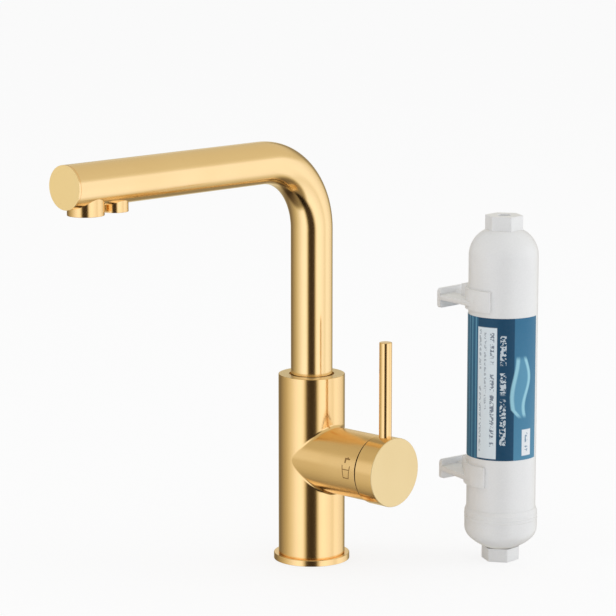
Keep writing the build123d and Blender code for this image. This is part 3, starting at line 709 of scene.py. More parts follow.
VALVE_PLASTIC = Plain("valve_plastic_moulded", (0.74, 0.74, 0.71), (0.68, 0.68, 0.65), 0.42)
CERAMIC = Plain(
    "valve_ceramic_lapped", (0.86, 0.85, 0.81), (0.82, 0.80, 0.76), 0.12, relief_mm=0.002
)
TUBE_PLASTIC = Plain("tube_plastic_extruded", (0.80, 0.84, 0.88), (0.74, 0.78, 0.83), 0.35)
AERATOR_PLASTIC = Plain("aerator_plastic_moulded", (0.10, 0.10, 0.10), (0.07, 0.07, 0.07), 0.5)
WHITE_PLASTIC = Plain(
    "white_plastic_moulded", (0.84, 0.845, 0.85), (0.80, 0.805, 0.81), 0.34,
    spot_mm=1.2, relief_mm=0.008,
)
CLIP_PLASTIC = Plain(
    "clip_plastic_moulded", (0.84, 0.845, 0.85), (0.79, 0.795, 0.80), 0.42,
    spot_mm=0.8, relief_mm=0.012,
)
LABEL = PrintedFilm("label_film_printed")
CARBON = Plain(
    "carbon_pressed", (0.02, 0.02, 0.02), (0.06, 0.06, 0.06), 0.9, spot_mm=0.7, relief_mm=0.3
)
FLEECE = Fibres("fleece_pressed", (0.80, 0.80, 0.78), (0.70, 0.70, 0.68), 0.85, relief_mm=0.3)


# ---------------------------------------------------------------- mesh tools


@dataclass(frozen=True)
class Spindle:
    """An axis with the direction from which angles round it are counted."""

    origin: Point
    along: Point = (0.0, 0.0, 1.0)
    start: Point = (1.0, 0.0, 0.0)

    def axes(self) -> np.ndarray:
        """Rows: start, the direction a quarter turn on, and the axis."""
        along, start = np.array(self.along, float), np.array(self.start, float)
        return np.array([start, np.cross(along, start), along])

    def points(self, radius: np.ndarray, angle: np.ndarray, height: np.ndarray) -> np.ndarray:
        """Places by radius, angle in radians and height along the axis."""
        local = np.stack([radius * np.cos(angle), radius * np.sin(angle), height], -1)
        return np.array(self.origin, float) + local @ self.axes()

    def normals(self, out: np.ndarray, angle: np.ndarray, up: np.ndarray) -> np.ndarray:
        """Directions by their outward and axial parts."""
        local = np.stack([out * np.cos(angle), out * np.sin(angle), up], -1)
        return local @ self.axes()


@dataclass
class Run:
    """A stretch of an outline that is smooth from end to end."""

    points: np.ndarray
    normals: np.ndarray
    finish: int = 0


class Outline:
    """A turned outline of (radius, height), drawn with the material on its left."""

    def __init__(self) -> None:
        """Start with no runs."""
        self.runs: list[Run] = []

    def line(self, start: Sequence[float], end: Sequence[float], finish: int = 0) -> "Outline":
        """Add a straight run.

        Args:
            start: where it starts.
            end: where it ends; a run of no length is left out.
            finish: number of the finish it takes.

        Returns:
            The outline.
        """
        way = np.array(end, float) - np.array(start, float)
        length = float(np.hypot(*way))
        if length > 1e-6:
            normal = np.array([way[1], -way[0]]) / length
            self.runs.append(Run(np.array([start, end], float), np.array([normal] * 2), finish))
        return self

    def arc(
        self,
        centre: Sequence[float],
        radius: float,
        first: float,
        last: float,
        finish: int = 0,
        steps: int = 16,
    ) -> "Outline":
        """Add an arc.

        Args:
            centre: its centre.
            radius: its radius.
            first: the angle in degrees where it starts.
            last: the angle where it ends, more than first for an arc that bulges out.
            finish: number of the finish it takes.
            steps: how many straight pieces stand for it.

        Returns:
            The outline.
        """
        angle = np.radians(np.linspace(first, last, steps + 1))
        ray = np.stack([np.cos(angle), np.sin(angle)], -1)
        side = 1.0 if last > first else -1.0
        self.runs.append(Run(np.array(centre, float) + radius * ray, ray * side, finish))
        return self

    def path(self, corners: Sequence[Sequence[float]], closed: bool = False) -> "Outline":
        """Add straight runs with rounded corners.

        Args:
            corners: (radius, height, rounding, finish of the run that follows) each, the
                last two as needed.
            closed: whether the last corner joins the first.

        Returns:
            The outline.
        """
        full = [(*c, *(0.0, 0)[len(c) - 2 :]) for c in corners]
        places = [np.array(c[:2], float) for c in full]
        count = len(full)
        leave: list[np.ndarray] = []
        arrive: list[np.ndarray] = []
        for i, (_, _, rounding, finish) in enumerate(full):
            here = places[i]
            inner = closed or 0 < i < count - 1
            if rounding <= 0 or not inner:
                leave.append(here)
                arrive.append(here)
                continue
            back = places[i - 1] - here
            onward = places[(i + 1) % count] - here
            back, onward = back / np.hypot(*back), onward / np.hypot(*onward)
            half = math.acos(float(np.clip(back @ onward, -1, 1))) / 2
            reach = rounding / math.tan(half)
            between = (back + onward) / np.hypot(*(back + onward))
            middle = between * rounding / math.sin(half) + here
            arrive.append(here + back * reach)
            leave.append(here + onward * reach)
            first, last = arrive[-1] - middle, leave[-1] - middle
            begin = math.degrees(math.atan2(first[1], first[0]))
            end = math.degrees(math.atan2(last[1], last[0]))
            swing = (end - begin + 180) % 360 - 180
            self.arc(middle, rounding, begin, begin + swing, finish, max(2, int(abs(swing) / 22)))
        for i in range(count if closed else count - 1):
            self.line(leave[i], arrive[(i + 1) % count], full[i][3])
        return self


class Shell:
    """A mesh under construction: patches in millimetres with exact normals."""

    def __init__(self) -> None:
        """Start with no patches."""
        self.points: list[np.ndarray] = []
        self.normals: list[np.ndarray] = []
        self.charts: list[np.ndarray] = []
        self.finishes: list[np.ndarray] = []

    def patch(self, points: np.ndarray, normals: np.ndarray, finish: int = 0) -> "Shell":
        """Add a patch of four-sided faces.

        Args:
            points: rows by columns by 3.
            normals: the same shape, pointing out of the material.
            finish: number of the finish it takes.

        Returns:
            The shell.
        """

        def lengths(line: np.ndarray) -> np.ndarray:
            """How far each point of a line is from its first, along the line."""
            return np.append(0, np.cumsum(np.linalg.norm(np.diff(line, axis=0), axis=1)))

        chart = np.stack(np.meshgrid(lengths(points[0]), lengths(points[:, 0])), -1) * MM

        def corners(grid: np.ndarray) -> np.ndarray:
            """Faces by four corners of one of the grids."""
            around = (grid[:-1, :-1], grid[1:, :-1], grid[1:, 1:], grid[:-1, 1:])
            return np.stack(around, 2).reshape(-1, 4, grid.shape[-1])

        place, normal, flat = corners(points), corners(normals), corners(chart)
        facing = np.cross(place[:, 2] - place[:, 0], place[:, 3] - place[:, 1])
        wrong = (facing * normal.sum(1)).sum(1) < 0
        for grid in (place, normal, flat):
            grid[wrong] = grid[wrong][:, ::-1]
        self.points.append(place)
        self.normals.append(normal)
        self.charts.append(flat)
        self.finishes.append(np.full(len(place), finish))
        return self

    def lathe(self, outline: Outline, spindle: Spindle, angles: np.ndarray) -> "Shell":
        """Turn an outline round a spindle.

        Args:
            outline: the outline.
            spindle: the axis it turns round.
            angles: the turn's angles in radians.

        Returns:
            The shell.
        """
        spread = np.ones((1, len(angles)))
        for run in outline.runs:
            around = angles[None, :] * np.ones((len(run.points), 1))
            radius, height = run.points[:, :1] * spread, run.points[:, 1:] * spread
            out, up = run.normals[:, :1] * spread, run.normals[:, 1:] * spread
            points = spindle.points(radius, around, height)
            self.patch(points, spindle.normals(out, around, up), run.finish)
        return self

    def wall(
        self,
        spindle: Spindle,
        radius: float,
        angles: np.ndarray,
        heights: np.ndarray,
        side: float = 1.0,
    ) -> "Shell":
        """Add a round wall.

        Args:
            spindle: its axis.
            radius: its radius.
            angles: its columns' angles in radians.
            heights: rows of heights, one for each angle.
            side: 1 where it faces out and -1 where it faces the axis.

        Returns:
            The shell.
        """
        around = np.stack([angles] * len(heights))
        points = spindle.points(np.full_like(heights, radius), around, heights)
        out, up = np.full_like(heights, side), np.zeros_like(heights)
        return self.patch(points, spindle.normals(out, around, up))

    def make(self, name: str) -> bpy.types.Object:
        """Weld the patches and make the piece, in metres.

        Args:
            name: the piece's name.

        Returns:
            The new object.
        """
        corners = np.concatenate(self.points).reshape(-1, 3)
        _, first, number = np.unique(
            np.round(corners, 3), axis=0, return_index=True, return_inverse=True
        )
        rows = zip(
            number.reshape(-1, 4).tolist(),
            np.concatenate(self.normals).tolist(),
            np.concatenate(self.charts).tolist(),
            np.concatenate(self.finishes).tolist(),
        )
        faces, kept_normals, kept_charts, kept_finish = [], [], [], []
        for face, normal, chart, finish in rows:
            keep = [i for i in range(4) if face[i] != face[i - 1]]
            if len(keep) < 3 or len({face[i] for i in keep}) < len(keep):
                continue
            faces.append([face[i] for i in keep])
            kept_normals += [normal[i] for i in keep]
            kept_charts += [chart[i] for i in keep]
            kept_finish.append(int(finish))
        mesh = bpy.data.meshes.new(name)
        mesh.from_pydata((corners[first] * MM).tolist(), [], faces)
        mesh.attributes.new("finish_number", "INT", "FACE").data.foreach_set("value", kept_finish)
        mesh.uv_layers.new(name="UVMap").data.foreach_set("uv", np.array(kept_charts).ravel())
        keep_normals(mesh, np.array(kept_normals))
        return in_scene(name, mesh)


def in_scene(name: str, data: bpy.types.ID) -> bpy.types.Object:
    """Make an object and put it in the scene.

    Args:
        name: its name.
        data: its mesh, camera or lamp.

    Returns:
        The object.
    """
    made = bpy.data.objects.new(name, data)
    bpy.context.scene.collection.objects.link(made)
    return made


def bake(piece: bpy.types.Object) -> bpy.types.Mesh:
    """Give a piece the mesh that its modifiers make.

    Args:
        piece: the piece, which loses its modifiers.

    Returns:
        Its new mesh.
    """
    bpy.context.view_layer.update()
    shown = piece.evaluated_get(bpy.context.evaluated_depsgraph_get())
    mesh = bpy.data.meshes.new_from_object(shown)
    piece.modifiers.clear()
    piece.data = mesh
    return mesh


def keep_normals(mesh: bpy.types.Mesh, normals: np.ndarray) -> None:
    """Give every face corner its exact normal, and store it for cuts.

    Args:
        mesh: the mesh.
        normals: one for each face corner, of any length.
    """
    size = np.linalg.norm(normals, axis=1, keepdims=True)
    normals = normals / np.maximum(size, 1e-9)
    mesh.polygons.foreach_set("use_smooth", [True] * len(mesh.polygons))
    stored = mesh.attributes.get("exact_normal")
    stored = stored or mesh.attributes.new("exact_normal", "FLOAT_VECTOR", "CORNER")
    stored.data.foreach_set("vector", normals.astype(np.float32).ravel())
    mesh.normals_split_custom_set(normals.tolist())


def full_turn(facets: int) -> np.ndarray:
    """Angles of a whole turn, the last one meeting the first."""
    return np.linspace(0, 2 * math.pi, facets + 1)


def turned(name: str, outline: Outline, spindle: Spindle, facets: int = 128) -> bpy.types.Object:
    """A piece that is one turned outline."""
    return Shell().lathe(outline, spindle, full_turn(facets)).make(name)


def drill(piece: bpy.types.Object, holes: Sequence[tuple[Spindle, float, float]]) -> None:
    """Cut round holes in a piece.

    Args:
        piece: a closed mesh.
        holes: the axis, radius and depth of each, from the axis's origin.
    """
    for spindle, radius, depth in holes:
        outline = Outline().path([(0, 0), (radius, 0), (radius, depth), (0, depth)])
        cutter = turned(f"{piece.name}_drill", outline, spindle, 40)
        cutter.data.attributes.remove(cutter.data.attributes["exact_normal"])
        cut = piece.modifiers.new("drill", "BOOLEAN")
        cut.operation, cut.solver, cut.object = "DIFFERENCE", "EXACT", cutter
        mesh = bake(piece)
        bpy.data.objects.remove(cutter)
        stored = mesh.attributes["exact_normal"].data
        normals = np.zeros(len(stored) * 3, np.float32)
        stored.foreach_get("vector", normals)
        normals = normals.reshape(-1, 3)
        along = np.array(spindle.along, float)
        for face in mesh.polygons:
            for loop in face.loop_indices:
                known = np.linalg.norm(normals[loop]) > 0.5
                if known and face.normal.dot(Vector(normals[loop])) > 0.3:
                    continue
                place = np.array(mesh.vertices[mesh.loops[loop].vertex_index].co) / MM
                arm = place - np.array(spindle.origin, float)
                arm = arm - along * (arm @ along)
                level = abs(face.normal.dot(Vector(along))) > 0.5
                flat = level or np.linalg.norm(arm) < 1e-6
                normals[loop] = face.normal if flat else -arm / np.linalg.norm(arm)
        keep_normals(mesh, normals)


def wear(piece: bpy.types.Object, finishes: Sequence[Finish]) -> None:
    """Give a piece its finishes.

    Args:
        piece: the piece, whose faces may hold the numbers of their finishes.
        finishes: the finishes in the order of those numbers.
    """
    piece.data.materials.clear()
    for finish in finishes:
        piece.data.materials.append(finish.material())
    stored = piece.data.attributes.get("finish_number")
    if stored is not None:
        numbers = [min(n.value, len(finishes) - 1) for n in stored.data]
        piece.data.polygons.foreach_set("material_index", numbers)


def settle(
    piece: bpy.types.Object, body: str, slot: str, nodes: Sequence[str], *finishes: Finish
) -> None:
    """Put a finished piece in place of CAD nodes.

    Args:
        piece: the piece.
        body: the body that it moves with.
        slot: the record's material slot; not used.
        nodes: the CAD nodes that it stands for.
        finishes: its finishes.
    """
    wear(piece, finishes)
    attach(piece, body)
    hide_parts(*nodes)
    log.info("%s: %d faces, for %s", piece.name, len(piece.data.polygons), ", ".join(nodes))


def dress(finish: Finish, *nodes: str) -> None:
    """Give CAD nodes that keep their own mesh a finish.

    Args:
        finish: the finish.
        nodes: the nodes' names.
    """
    for name in nodes:
        wear(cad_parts[name], [finish])
        log.info("%s: %s", name, finish.name)


def eased_copy(name: str, node: str, width: float) -> bpy.types.Object:
    """A copy of a CAD node's mesh with its edges rounded.

    Args:
        name: the new piece's name.
        node: the CAD node.
        width: the rounding in millimetres.

    Returns:
        The new object.
    """
    made = in_scene(name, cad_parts[node].data.copy())
    weld = made.modifiers.new("weld", "WELD")
    weld.merge_threshold = 1e-6
    flat = made.modifiers.new("flat", "DECIMATE")
    flat.decimate_type, flat.angle_limit = "DISSOLVE", math.radians(1)
    bevel = made.modifiers.new("edges", "BEVEL")
    bevel.width, bevel.segments, bevel.angle_limit = width * MM, 2, math.radians(32)
    bevel.harden_normals = True
    bevel.use_clamp_overlap = True
    for face in bake(made).polygons:
        face.use_smooth = True
    return made


UP = Spindle((0.0, 0.0, 0.0))
BARREL = Spindle((0.0, 0.0, BARREL_Z), (1.0, 0.0, 0.0), (0.0, 0.0, 1.0))


# ---------------------------------------------------------------- the tap


@dataclass
class TapBase:
    """Ring, seal and inlet block under the body."""

    ring_r: float = 27.5
    height: float = 4.5
    edge: float = 0.5
    bore_r: float = 19.53
    seal_inner_r: float = 22.0
    seal_outer_r: float = 25.5
    seal_t: float = 2.0

    def build(self) -> None:
        """The ring that the body stands on, with the groove for its seal."""
        outline = Outline().path(
            [
                (self.bore_r, 0, 0.1),
                (self.seal_inner_r, 0),
                (self.seal_inner_r, self.seal_t),
                (self.seal_outer_r, self.seal_t),
                (self.seal_outer_r, 0),
                (self.ring_r, 0, 0.2),
                (self.ring_r, self.height, self.edge),
                (self.bore_r, self.height, 0.1),
            ],
            closed=True,
        )
        ring = turned("ground_ring", outline, UP)
        settle(ring, "tap_body", "brushed_gold", ["base_ring"], GOLD_Z)
        dress(RUBBER, "base_seal")
        dress(RAW_BRASS, "inlet_block")


@dataclass
class TapBody:
    """The upright body with its side barrel and the rounded crease between them."""

    radius: float = 24.0
    low: float = 5.1
    high: float = 136.8
    rim: float = 0.5
    step_r: float = 23.2
    step_z: float = 4.5
    block_r: float = 19.53
    block_z: float = 14.03
    socket_r: float = 16.2
    socket_z: float = 100.0
    axis_z: float = BARREL_Z
    barrel_r: float = BARREL_R
    barrel_end: float = BARREL_END
    barrel_rim: float = 0.3
    crease: float = 3.0
    chamber_r: float = 18.0
    chamber_x: float = 21.0
    nut_r: float = 19.1
    nut_x: float = 46.05
    screw_z: float = 118.6
    screw_r: float = 2.53
    screw_from: float = 12.0
    screw_depth: float = 20.0
    quarter: int = 28
    back: int = 72
    crease_rows: int = 9

    def _ball(self, turn: np.ndarray) -> np.ndarray:
        """Centres of the ball that rolls in the crease.

        Args:
            turn: angles round the barrel, counted from straight up.

        Returns:
            A centre for each angle.
        """
        reach = self.barrel_r + self.crease
        y, z = reach * np.sin(turn), reach * np.cos(turn)
        x = np.sqrt((self.radius + self.crease) ** 2 - y**2)
        return np.stack([x, y, z + self.axis_z], -1)

    def _wall(self, shell: Shell, angles: np.ndarray, low: Any, high: Any) -> None:
        """Add an upright strip of the body's wall.

        Args:
            shell: what it is added to.
            angles: its columns' angles.
            low: its lower edge, one height or one for each angle.
            high: its upper edge in the same way.
        """
        shell.wall(UP, self.radius, angles, np.stack([low + 0 * angles, high + 0 * angles]))

    def build(self) -> None:
        """Make the body, drill the hole for the spout's retaining screw and dress it."""
        shell = Shell()
        ball = self._ball(np.linspace(0, math.pi / 2, self.quarter + 1))
        edge = ball[:, 2]
        beside = np.arctan2(ball[:, 1], ball[:, 0])
        behind = np.linspace(beside[-1], 2 * math.pi - beside[-1], self.back + 1)
        top, bottom = self.high - self.rim, self.low
        for side in (1, -1):
            self._wall(shell, side * beside, edge, top)
            self._wall(shell, side * beside, bottom, 2 * self.axis_z - edge)
        self._wall(shell, behind, self.axis_z, top)
        self._wall(shell, behind, bottom, self.axis_z)
        self._crease(shell)
        rims = Outline().path(
            [
                (0, self.block_z),
                (self.block_r, self.block_z),
                (self.block_r, self.step_z),
                (self.step_r, self.step_z),
                (self.step_r, self.low),
                (self.radius, self.low),
            ]
        )
        rims.arc((self.radius - self.rim, top), self.rim, 0, 90, 0, 4)
        rims.path(
            [
                (self.radius - self.rim, self.high, 0, 1),
                (self.socket_r, self.high, 0.15),
                (self.socket_r, self.socket_z),
                (0, self.socket_z),
            ]
        )
        once_round = [beside[:-1], behind, 2 * math.pi - beside[::-1][1:]]
        shell.lathe(rims, UP, np.concatenate(once_round))
        body = shell.make("upright_body")
        screw = Spindle((0, self.screw_from, self.screw_z), (0, 1, 0))
        drill(body, [(screw, self.screw_r, self.screw_depth)])
        settle(body, "tap_body", "brushed_gold", ["body_casting"], GOLD_BODY, GOLD_FACE, GOLD_PAINTED_GAP_SHADE)
        dress(STEEL, "spout_retaining_screw")
        dress(RUBBER, "inner_tube_seal")

    def _crease(self, shell: Shell) -> None:
        """Add the rounded crease, the barrel, its end and the valve chamber.

        Args:
            shell: what they are added to.
        """
        turn = full_turn(4 * self.quarter)
        ball = self._ball(turn)
        axis = np.array([0, 0, self.axis_z])
        to_body = ball * [1, 1, 0] / (self.radius + self.crease)
        to_barrel = (ball - axis) * [0, 1, 1] / (self.barrel_r + self.crease)
        share = np.linspace(0, 1, self.crease_rows)[:, None, None]
        gap = np.arccos(np.clip((to_body * to_barrel).sum(-1), -1, 1))[None, :, None]
        normals = np.sin((1 - share) * gap) * to_body + np.sin(share * gap) * to_barrel
        normals = normals / np.sin(gap)
        shell.patch(ball - self.crease * normals, normals)
        start, rim = ball[:, 0], self.barrel_rim
        end = np.full_like(start, self.barrel_end - rim)
        along = np.stack([start + (end - start) * s for s in (0.0, 0.5, 1.0)])
        shell.wall(BARREL, self.barrel_r, -turn, along)
        outline = Outline().arc(
            (self.barrel_r - rim, self.barrel_end - rim), rim, 0, 90, 0, 4
        )
        outline.path(
            [
                # The barrel's end face takes finish 2, the painted shade of the seam.
                (self.barrel_r - rim, self.barrel_end, 0, 2),
                (self.nut_r, self.barrel_end),
                (self.nut_r, self.nut_x),
                (self.chamber_r, self.nut_x),
                (self.chamber_r, self.chamber_x),
                (0, self.chamber_x),
            ]
        )
        shell.lathe(outline, BARREL, -turn)


@dataclass
class Valve:
    """What is inside the barrel, and the dome over it."""

    pivot_x: float = TILT_X
    barrel_end: float = BARREL_END
    ball_r: float = 32.764
    wall: float = 1.7
    hole_r: float = 15.506
    skirt_r: float = 19.07
    skirt_x: float = 57.37
    painted_shade_band: float = 1.2

    def build(self) -> None:
        """The dome trim as a turned piece, and finishes for the valve's nodes."""
        inner = self.ball_r - self.wall
        foot = math.sqrt(self.ball_r**2 - (self.barrel_end - self.pivot_x) ** 2)
        skirt_inner = self.skirt_r - self.wall

        def lean(ball_r: float, radius: float) -> float:
            """Angle in degrees, from the radius direction, of a point on a ball."""
            return math.degrees(math.acos(radius / ball_r))

        def place(ball_r: float, radius: float) -> tuple[float, float]:
            """The point itself."""
            return radius, self.pivot_x + math.sqrt(ball_r**2 - radius**2)

        outline = Outline()
        centre = (0, self.pivot_x)
        # The band at the dome's foot, inside the seam, takes finish 1: painted shade.
        seen = foot - self.painted_shade_band
        outline.arc(centre, self.ball_r, lean(self.ball_r, foot), lean(self.ball_r, seen), 1, 4)
        outline.arc(centre, self.ball_r, lean(self.ball_r, seen), lean(self.ball_r, self.hole_r))
        outline.line(place(self.ball_r, self.hole_r), place(inner, self.hole_r))
        outline.arc(centre, inner, lean(inner, self.hole_r), lean(inner, skirt_inner))
        outline.path(
            [
                place(inner, skirt_inner),
                (skirt_inner, self.skirt_x),
                (self.skirt_r, self.skirt_x),
                (self.skirt_r, self.barrel_end),
                (foot, self.barrel_end),
            ]
        )
        dome = turned("valve_dome", outline, BARREL)
        settle(dome, "tap_body", "brushed_gold", ["dome_trim"], GOLD_X, GOLD_PAINTED_GAP_SHADE)
        dress(VALVE_PLASTIC, "cartridge_housing", "spindle_carrier")
        dress(RUBBER, "cartridge_seals")
        dress(CERAMIC, "fixed_ceramic_disc", "moving_ceramic_disc")
        dress(RAW_BRASS, "cartridge_nut")
        dress(STEEL, "tilt_pin", "valve_stem")


@dataclass
class Handle:
    """The flat-faced cap and the thin upright lever."""

    axis_z: float = BARREL_Z
    rim_x: float = 66.0
    face_x: float = 81.5
    radius: float = 24.7
    edge: float = 0.5
    rim_edge: float = 0.2
    pivot_x: float = TILT_X
    hollow_r: float = 34.514
    socket_r: float = 4.03
    socket_end: float = 79.33
    lever_x: float = 72.25
    lever_r: float = 4.5
    lever_low: float = 95.5
    lever_high: float = 169.0
    lever_edge: float = 0.5
    lever_foot: float = 0.3
    lever_depth: float = 20.0
    screw_x: float = 76.907
    screw_r: float = 2.03
    screw_depth: float = 25.0
    seat: float = SEAT_GAP

    def build(self) -> None:
        """Turn the cap, drill it and turn the lever."""
        rim_inner = math.sqrt(self.hollow_r**2 - (self.rim_x - self.pivot_x) ** 2)
        first = math.degrees(math.acos(rim_inner / self.hollow_r))
        last = math.degrees(math.acos(self.socket_r / self.hollow_r))
        ball_end = self.pivot_x + math.sqrt(self.hollow_r**2 - self.socket_r**2)
        outline = Outline().path(
            [
                # The rim face at the seam takes finish 2: painted shade.
                (rim_inner, self.rim_x, 0, 2),
                (self.radius, self.rim_x, self.rim_edge),
                (self.radius, self.face_x, self.edge, 1),
                (0, self.face_x),
            ]
        )
        outline.path(
            [(0, self.socket_end), (self.socket_r, self.socket_end), (self.socket_r, ball_end)]
        )
        outline.arc((0, self.pivot_x), self.hollow_r, last, first, 0, 24)
        cap = turned("lever_cap", outline, BARREL)
        seat = Spindle((self.lever_x, 0, self.lever_low))
        screw = Spindle((self.screw_x, 0, self.axis_z - self.socket_r), (0, 0, -1))
        drill(
            cap,
            [
                (seat, self.lever_r + self.seat, self.lever_depth),
                (screw, self.screw_r, self.screw_depth),
            ],
        )
        settle(cap, "handle", "brushed_gold", ["handle_cap"], GOLD_X, GOLD_FACE, GOLD_PAINTED_GAP_SHADE)
        pin = Outline().path(
            [
                (0, self.lever_low),
                (self.lever_r, self.lever_low, self.lever_foot),
                (self.lever_r, self.lever_high, self.lever_edge),
                (0, self.lever_high),
            ]
        )
        lever = turned("lever_rod", pin, Spindle((self.lever_x, 0, 0)), 64)
        settle(lever, "handle", "brushed_gold", ["lever_pin"], GOLD_Z)
        dress(STEEL, "handle_set_screw")


@dataclass
class Spout:
    """The bent tube, its end cap and its foot in the body's socket."""

    low: float = 134.0
    top_z: float = SPOUT_Z
    bend: float = 51.8
    reach: float = 233.2
    radius: float = SPOUT_R
    wall: float = 1.5
    cap_t: float = 2.0
    cap_edge: float = 0.3
    joint: float = 0.25
    plug: float = 4.0
    plug_edge: float = 0.3
    seat: float = SEAT_GAP
    holes: tuple[Pair, ...] = ((MIXED_REACH, 9.4), (FILTERED_REACH, 6.2))
    hole_below: float = 2.0
    hole_depth: float = 8.0
    bend_steps: int = 40
    facets: int = 96

    def _course(self) -> tuple[np.ndarray, np.ndarray]:
        """Work out where the tube runs.

        Returns:
            The centres of its rings, and the direction at each.
        """
        turn = np.linspace(0, math.pi / 2, self.bend_steps + 1)
        corner = np.array([0, -self.bend, self.top_z - self.bend])
        middle = corner + self.bend * np.stack([0 * turn, np.cos(turn), np.sin(turn)], -1)
        way = np.stack([0 * turn, -np.sin(turn), np.cos(turn)], -1)
        heights = np.linspace(self.low, self.top_z - self.bend, 5)[:-1]
        reaches = np.linspace(-self.bend, self.cap_t - self.reach, 7)[1:]
        upright = [[0, 0, z] for z in heights]
        level = [[0, y, self.top_z] for y in reaches]
        centres = np.concatenate([upright, middle, level])
        ways = np.concatenate([[[0, 0, 1]] * len(upright), way, [[0, -1, 0]] * len(level)])
        return centres, ways

    def _skin(self, radius: float, side: float) -> tuple[np.ndarray, np.ndarray]:
        """One of the tube's two surfaces.

        Args:
            radius: its radius.
            side: 1 for the outer one and -1 for the bore.

        Returns:
            Its rings and their normals.
        """
        centres, ways = self._course()
        across = np.array([1.0, 0, 0])
        over = np.cross(ways, across)
        turn = full_turn(self.facets)[None, :, None]
        ray = np.cos(turn) * across + np.sin(turn) * over[:, None, :]
        return centres[:, None, :] + radius * ray, side * ray

    def build(self) -> None:
        """Sweep the tube, drill its two outlets, turn the end cap."""
        shell = Shell()
        outer, out_normal = self._skin(self.radius, 1.0)
        inner, in_normal = self._skin(self.radius - self.wall, -1.0)
        shell.patch(outer, out_normal).patch(inner, in_normal)
        _, ways = self._course()
        for end, side in ((0, -1.0), (-1, 1.0)):
            rings = np.stack([outer[end], inner[end]])
            shell.patch(rings, np.broadcast_to(side * ways[end], rings.shape).copy())
        tube = shell.make("bent_spout")
        low = self.top_z - self.radius - self.hole_below
        drill(tube, [(Spindle((0, -y, low)), radius, self.hole_depth) for y, radius in self.holes])
        settle(tube, "spout", "brushed_gold", ["spout_tube"], GOLD_Y)
        inner_x = self.reach - self.cap_t
        plug_r = self.radius - self.wall - self.seat
        outline = Outline().path(
            [
                (0, inner_x - self.plug),
                (plug_r, inner_x - self.plug, self.plug_edge),
                (plug_r, inner_x),
                (self.radius - self.joint, inner_x),
                (self.radius - self.joint, inner_x + self.joint),
                (self.radius, inner_x + self.joint),
                (self.radius, self.reach, self.cap_edge, 1),
                (0, self.reach),
            ]
        )
        axis = Spindle((0, 0, self.top_z), (0, -1, 0))
        end_cap = turned("spout_end", outline, axis, self.facets)
        settle(end_cap, "spout", "brushed_gold", ["spout_end_cap"], GOLD_Y, GOLD_END)
        dress(RAW_BRASS, "spout_foot")
        dress(VALVE_PLASTIC, "spout_slip_rings")
        dress(RUBBER, "spout_o_rings")
        dress(TUBE_PLASTIC, "filtered_inner_tube")


@dataclass(frozen=True)
class Outlet:
    """A collar under the spout, cut at its top to the round of the tube."""

    name: str
    node: str
    reach: float
    radius: float
    wall: float
    spout_z: float = SPOUT_Z
    tube_r: float = SPOUT_R
    drop: float = 5.0
    edge: float = 0.3
    foot: float = 1.0
    facets: int = 96

    def build(self) -> None:
        """Two walls from a rounded foot up to the tube, and the saddle between them."""
        spindle = Spindle((0, -self.reach, 0))
        turn = full_turn(self.facets)
        low = self.spout_z - self.tube_r - self.drop
        inner_r = self.radius - self.wall
        foot = Outline().path(
            [
                (inner_r, low + self.foot),
                (inner_r, low, self.edge / 2),
                (self.radius, low, self.edge),
                (self.radius, low + self.foot),
            ]
        )
        shell = Shell().lathe(foot, spindle, turn)

        def saddle(radius: float) -> np.ndarray:
            """Height of the tube's surface over the collar's circle."""
            return self.spout_z - np.sqrt(self.tube_r**2 - (radius * np.cos(turn)) ** 2)

        for radius, side in ((self.radius, 1.0), (inner_r, -1.0)):
            heights = np.stack([np.full_like(turn, low + self.foot), saddle(radius)])
            shell.wall(spindle, radius, turn, heights, side)
        radii = np.linspace(inner_r, self.radius, 4)
        heights = np.stack([saddle(r) for r in radii])
        around = np.stack([turn] * len(radii))
        shell.patch(
            spindle.points(radii[:, None] * np.ones_like(around), around, heights),
            spindle.normals(np.zeros_like(around), around, np.ones_like(around)),
        )
        settle(shell.make(self.name), "spout", "brushed_gold", [self.node], GOLD_Z)


@dataclass
class Outlets:
    """Both outlets with their inserts."""

    mixed: Outlet = Outlet("mixed_collar", "mixed_outlet_collar", MIXED_REACH, 12.5, 1.6)
    filtered: Outlet = Outlet(
        "filtered_collar", "filtered_outlet_collar", FILTERED_REACH, 9.0, 1.4
    )

    def build(self) -> None:
        """Make the collars and dress the inserts."""
        self.mixed.build()
        self.filtered.build()
        dress(AERATOR_PLASTIC, "mixed_aerator", "filtered_aerator")
        dress(RUBBER, "mixed_aerator_washer")


# ---------------------------------------------------------------- the filter cartridge


